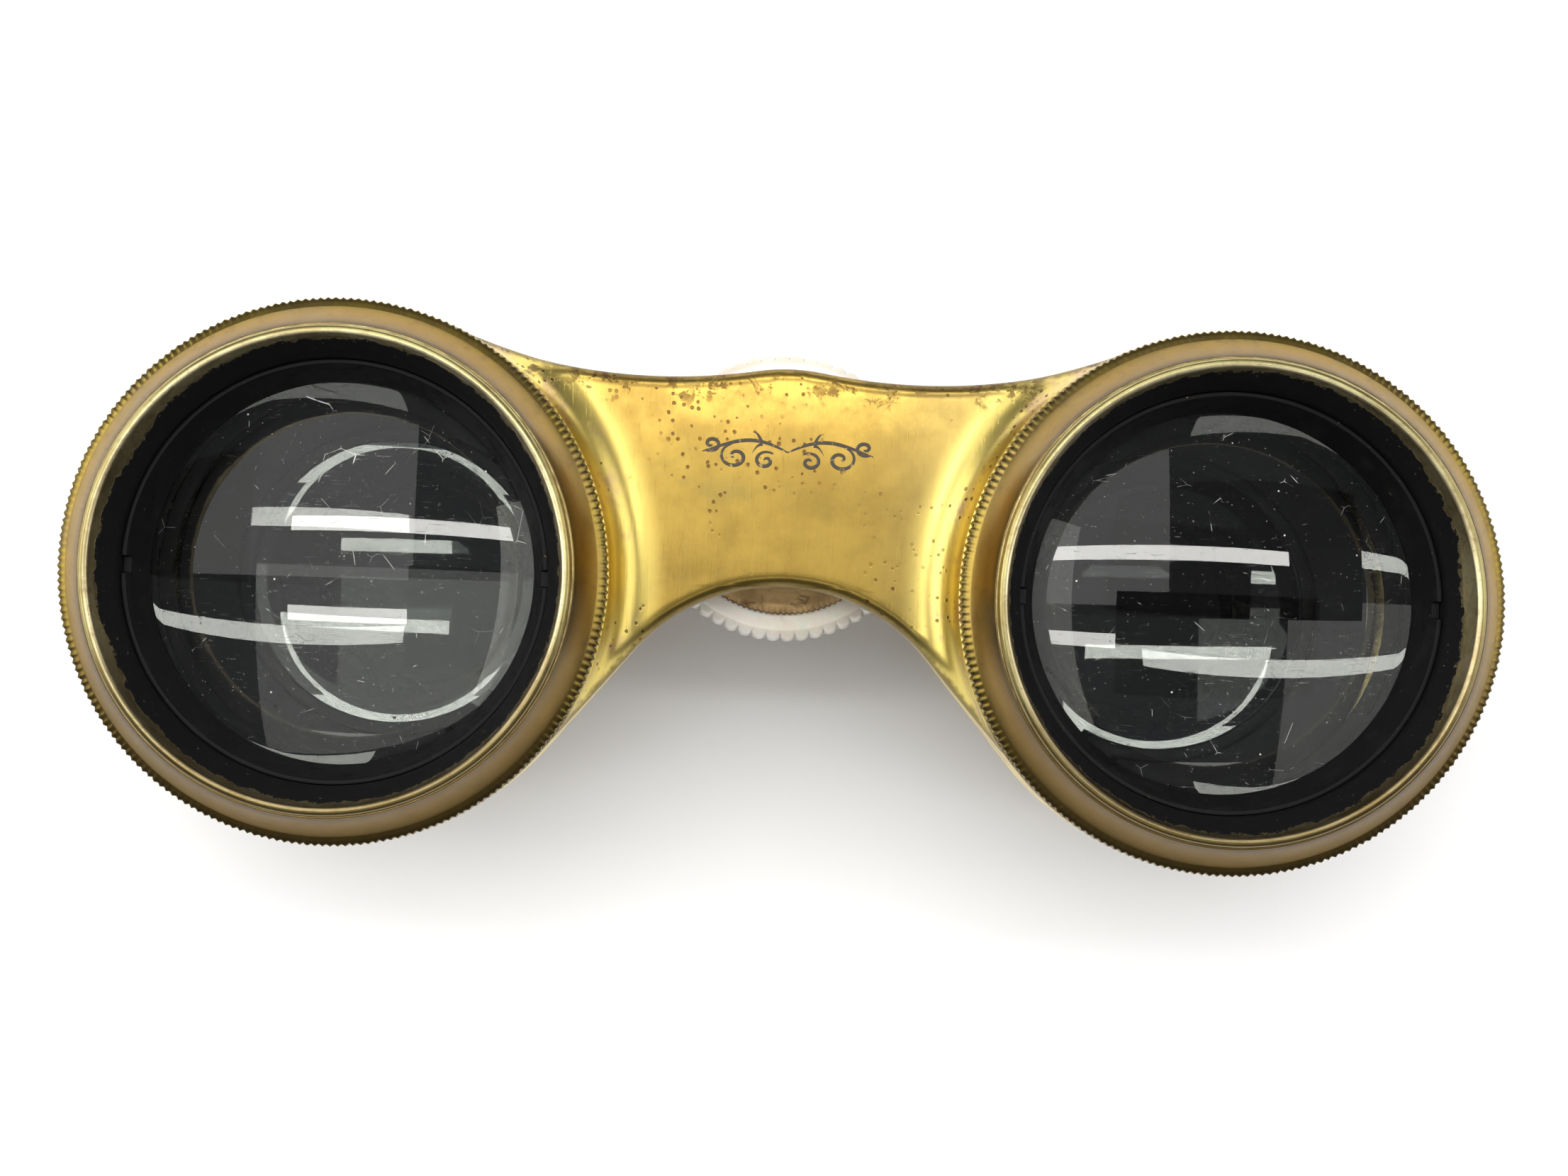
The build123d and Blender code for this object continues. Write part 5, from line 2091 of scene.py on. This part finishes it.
# ------------------------------------------------------------------------------------ focusing
@dataclass
class FocusingWheel:
    """Wheel between the bridges: hub, scalloped pearl rim and two milled brass discs."""

    brass: bpy.types.Material
    tarnished: bpy.types.Material
    pearl: bpy.types.Material
    lobes: int = 60
    lobe_depth: float = 0.42
    milling: int = 128
    hub_radius: float = 5.2
    front_trunnion: float = 4.2
    rear_trunnion: float = 3.9
    bush_wall: float = 1.5

    def turn(
        self,
        node: str,
        name: str,
        outline: np.ndarray,
        slot: str,
        finish: bpy.types.Material,
        body: Body = Body.WHEEL,
        fluting: Optional[Fluting] = None,
        segments: int = 192,
    ) -> bpy.types.Object:
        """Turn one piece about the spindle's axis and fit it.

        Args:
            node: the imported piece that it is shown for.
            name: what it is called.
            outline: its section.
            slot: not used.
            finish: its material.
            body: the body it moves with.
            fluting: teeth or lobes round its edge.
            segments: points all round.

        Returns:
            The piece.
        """
        made = Turning(
            name, axis_of("wheel_hub"), outline, segments=segments, fluting=fluting, longest=0.6
        ).make()
        return fit(made, body, finish, [node])

    def make(self) -> None:
        """Make the wheel and its two bushes."""
        low, high = levels("wheel_pearl_rim")
        lowest, highest = box_mm("wheel_pearl_rim")
        radius = float(highest[1] - lowest[1]) / 2
        inner = self.hub_radius + 0.05
        crown = [
            (inner, low, 0.05), (radius - 0.85, low, 0.1), (
                radius - 0.25, low + 0.35, 0.3
            ), (radius, low + 1.5, 0.6),
            (radius, high - 1.5, 0.6), (
                radius - 0.25, high - 0.35, 0.3
            ), (radius - 0.85, high, 0.1), (inner, high, 0.05),
        ]
        lobes = Fluting(self.lobes, self.lobe_depth, radius - 0.8, radius - 0.3, Flute.LOBE, uneven=0.1)
        self.turn(
            "wheel_pearl_rim", "scalloped_pearl_rim", rounded(
                crown, steps=6
            ), "mother_of_pearl", self.pearl,
            fluting=lobes, segments=self.lobes * 14,
        )
        for node, name in (
            ("wheel_front_disc", "front_milled_disc"), ("wheel_rear_disc", "rear_milled_disc")
        ):
            bottom, top = levels(node)
            lowest, highest = box_mm(node)
            disc = float(highest[0] - lowest[0]) / 2
            outline = rounded(
                [(inner, bottom, 0.04), (disc, bottom, 0.14), (disc, top, 0.14), (inner, top, 0.04)]
            )
            cuts = Fluting(self.milling, 0.16, disc - 0.3, disc - 0.1, uneven=0.3)
            self.turn(
                node,
                name,
                outline,
                "tarnished_brass",
                self.tarnished,
                fluting=cuts,
                segments=self.milling * 8,
            )
        self.make_hub()
        self.make_bushes()

    def make_hub(self) -> None:
        """Make the hub with its two trunnions."""
        low, high = levels("wheel_hub")
        rear_top = levels("rear_wheel_bush")[1] + 0.2
        front_low = levels("front_wheel_bush")[0] - 0.2
        shoulder = levels("spindle_stop_screw")[0] - 8.1
        outline = rounded(
            [
                (2.28, low, 0.1), (self.rear_trunnion, low, 0.15), (self.rear_trunnion, rear_top, 0.05),
                (self.hub_radius, rear_top, 0.15), (self.hub_radius, front_low, 0.15),
                (self.front_trunnion, front_low, 0.05), (self.front_trunnion, high, 0.15), (3.2, high, 0.1),
                (3.2, shoulder, 0.05), (2.28, shoulder, 0.1),
            ]
        )
        self.turn("wheel_hub", "wheel_hub_turned", outline, "machined_brass", self.brass)

    def make_bushes(self) -> None:
        """Make the two bearings that the hub turns in."""
        low, high = levels("front_wheel_bush")
        bore, outer = self.front_trunnion + 0.05, self.front_trunnion + self.bush_wall
        outline = rounded([(bore, low, 0.1), (outer, low, 0.15), (outer, high, 0.05), (bore, high, 0.05)])
        self.turn("front_wheel_bush", "front_bush", outline, "machined_brass", self.brass, Body.BARRELS)
        low, high = levels("rear_wheel_bush")
        bore, outer = self.rear_trunnion + 0.05, self.rear_trunnion + self.bush_wall
        outline = rounded(
            [
                (bore, low, 0.05), (outer + 0.5, low, 0.05), (outer + 0.5, low + 0.8, 0.12),
                (outer, low + 0.8, 0.05), (outer, high, 0.15), (bore, high, 0.1),
            ]
        )
        self.turn("rear_wheel_bush", "rear_bush", outline, "machined_brass", self.brass, Body.BARRELS)


@dataclass
class FocusingSpindle:
    """Threaded spindle with its flange; the stop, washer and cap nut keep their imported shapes."""

    brass: bpy.types.Material
    aged: bpy.types.Material
    shank: float = 2.0
    thread: float = 2.2
    flange: float = 3.2
    flange_height: float = 0.5
    lead: float = 12.0
    starts: int = 6
    thread_depth: float = 0.32

    def make(self) -> None:
        """Make the spindle and dress the small pieces."""
        low, high = levels("focus_spindle")
        seat = levels("ocular_bridge")[1]
        root = seat + self.flange_height
        rod: list[Point] = [
            (0.0, low, 0.0), (self.shank, low, 0.2), (self.shank, seat, 0.03), (self.flange, seat, 0.03)
        ]
        rod += [(self.flange, root, 0.12), (self.thread, root, 0.05)]
        rod += [(self.thread, z, 0.0) for z in np.arange(root + 0.2, high - 0.15, 0.14)]
        rod += [(self.thread, high, 0.2), (0.0, high, 0.0)]
        pitch = self.lead / self.starts

        def cut_thread(radii: np.ndarray, heights: np.ndarray) -> tuple[np.ndarray, np.ndarray]:
            """Cut the many-start thread in the rod."""
            turns = np.linspace(0, 1, radii.shape[1], endpoint=False)[None, :]
            phase = ((heights - turns * self.lead) / pitch) % 1.0
            form = np.clip(1.35 - 2.7 * np.abs(phase - 0.5), 0, 1)
            free = np.clip((heights - root - 0.4) / 0.8, 0, 1) * np.clip((high - heights) / 0.5, 0, 1)
            on_rod = np.abs(radii - self.thread) < 0.02
            return radii - np.where(on_rod, self.thread_depth * form * free, 0.0), heights

        spindle = Turning(
            "threaded_spindle", axis_of(
                "wheel_hub"
            ), rounded(rod), segments=120, longest=2.0, shift=cut_thread, crease=50
        ).make()
        fit(spindle, Body.EYEPIECES, self.brass, ["focus_spindle"])
        dress("spindle_stop_screw", self.brass)
        dress("spindle_washer", self.brass)
        dress("spindle_cap_nut", self.aged)


# ------------------------------------------------------------------------------------ studio
@dataclass
class Studio:
    """Pale floor, soft light, a dark screen beside the camera, and the camera."""

    lens: float = 57.5
    place: tuple[float, float, float] = (-2.4, -3.6, 210.0)
    roll: float = 2.03
    tilt: float = 1.14
    lean: float = -0.83

    def panel(
        self, name: str, centre: Point, width: float, depth: float, power: float, colour: Colour
    ) -> bpy.types.Object:
        """Hang a soft lamp that shines down, or straight at the glasses where it stands to one side.

        Args:
            name: name of the lamp.
            centre: its middle.
            width: its size along X.
            depth: its size along Y.
            power: its power, watts.
            colour: its colour.

        Returns:
            The lamp.
        """
        data = bpy.data.lights.new(name, "AREA")
        data.shape = "RECTANGLE"
        data.size, data.size_y = width * MM, depth * MM
        data.energy = power
        data.color = colour
        lamp = bpy.data.objects.new(name, data)
        lamp.location = [c * MM for c in centre]
        if abs(centre[0]) > centre[2]:
            lamp.rotation_euler = (0.0, math.copysign(math.pi / 2, centre[0]), 0.0)
        bpy.context.scene.collection.objects.link(lamp)
        return lamp

    def slab(self, name: str, low: Point, high: Point, finish: bpy.types.Material) -> bpy.types.Object:
        """Make a flat sheet of the studio.

        Args:
            name: name of the sheet.
            low: its lowest corner.
            high: its highest corner, at the same z.
            finish: its material.

        Returns:
            The sheet.
        """
        corners = np.array(
            [
                (low[0], low[1], low[2]),
                (high[0], low[1], low[2]),
                (high[0], high[1], low[2]),
                (low[0], high[1], low[2]),
            ],
            float,
        )
        sheet = build_mesh(name, corners, [[0, 1, 2, 3]])
        sheet.data.materials.append(finish)
        return sheet

    def make(self) -> None:
        """Set up the studio."""
        # The screen and the floor fill are unseen helpers: one only darkens the lenses, one only lights.
        self.slab("floor_sheet", (-900, -900, -0.02), (900, 900, -0.02), PalePaper().material())
        card = self.slab("dark_screen", (-12, -65, 212), (140, 10, 212), DarkCloth().material())
        card.visible_camera = False
        card.visible_diffuse = False
        card.visible_shadow = False
        self.panel("overhead_softbox", (-270, 195, 520), 580, 390, 0.80, (1.0, 0.99, 0.97))
        self.panel("back_softbox", (-10, 420, 480), 380, 110, 0.80, (1.0, 0.99, 0.95))
        self.panel("front_strip", (13, -41, 330), 303, 17, 0.19, (1.0, 0.99, 0.95))
        self.panel("back_strip", (13, 61, 330), 303, 17, 0.22, (1.0, 0.99, 0.95))
        self.panel("low_softbox", (-10, -222, 330), 300, 60, 0.14, (1.0, 0.99, 0.95))
        self.panel("left_softbox", (-330, 60, 230), 300, 320, 0.75, (1.0, 0.98, 0.94))
        self.panel("right_softbox", (330, 60, 230), 300, 320, 0.50, (1.0, 0.98, 0.94))
        fill = self.panel("floor_fill", (0, 260, 650), 900, 500, 4.2, (1.0, 1.0, 1.0))
        fill.visible_glossy = False
        fill.visible_transmission = False
        world = bpy.data.worlds.new("pale_room")
        world.use_nodes = True
        world.node_tree.nodes["Background"].inputs[0].default_value = (0.93, 0.95, 1.0, 1.0)
        world.node_tree.nodes["Background"].inputs[1].default_value = 0.16
        bpy.context.scene.world = world
        bpy.context.scene.view_settings.view_transform = "Standard"
        self.make_camera()

    def make_camera(self) -> None:
        """Place the camera above the objectives."""
        data = bpy.data.cameras.new("camera")
        data.lens = self.lens
        data.sensor_width = 36.0
        data.clip_start, data.clip_end = 0.01, 10.0
        camera = bpy.data.objects.new("camera", data)
        turn = (
            Matrix.Rotation(math.radians(self.roll), 4, "Z")
            @ Matrix.Rotation(math.radians(self.tilt), 4, "X")
            @ Matrix.Rotation(math.radians(self.lean), 4, "Y")
        )
        camera.matrix_world = Matrix.Translation(Vector(self.place) * MM) @ turn
        bpy.context.scene.collection.objects.link(camera)
        bpy.context.scene.camera = camera


def main() -> None:
    """Build the glasses piece by piece."""
    logging.basicConfig(level=logging.INFO, format="%(name)s %(message)s")
    random.seed(7)
    aged = AgedBrass().material()
    turned = TurnedBrass().material()
    tarnished = TurnedBrass(
        "tarnished_disc_brass",
        bright=(0.30, 0.205, 0.095),
        deep=(0.15, 0.095, 0.045),
        stain=(0.05, 0.028, 0.015),
        roughness=0.36,
        stained=0.8,
    ).material()
    cup_brass = TurnedBrass(
        "eyecup_brass",
        bright=(0.78, 0.62, 0.27),
        deep=(0.52, 0.39, 0.17),
        stain=(0.18, 0.11, 0.05),
        roughness=0.27,
        stained=0.45,
    ).material()
    lacquer = BlackLacquer().material()
    pearl = MotherOfPearl().material()
    glass = LensGlass().material()
    # Dark stand-in for clear glass, a painted shade inside the tubes: it keeps the pale floor from shining
    # through the oculars.
    ocular_glass = LensGlass("ocular_lens_glass", tone=(0.10, 0.11, 0.11), dustiness=0.7).material()
    collar = levels("front_bridge")[1]
    low, high = box_mm("left_objective_bezel")
    bead_radius = 16.0
    bezel = BezelBrass(bead_radius, float(high[0] - low[0]) / 2).material()
    Studio().make()
    Bridges(aged, EngravedLine().material()).make()
    ScrollOrnament(EngravedLine("engraved_scroll_line").material()).make()
    wheel_pearl = MotherOfPearl(
        "wheel_pearl", cream=(0.60, 0.55, 0.45), white=(0.70, 0.67, 0.60), saturation=0.2
    ).material()
    FocusingWheel(turned, tarnished, wheel_pearl).make()
    FocusingSpindle(turned, aged).make()
    for side in Side:
        ObjectiveEnd(side, bezel, lacquer, glass, collar).make()
        Barrel(side, turned).make()
        Eyepiece(side, turned, cup_brass, lacquer, pearl, ocular_glass).make()
        log.info("%s side done", side.value)


if __name__ == "__main__":
    main()
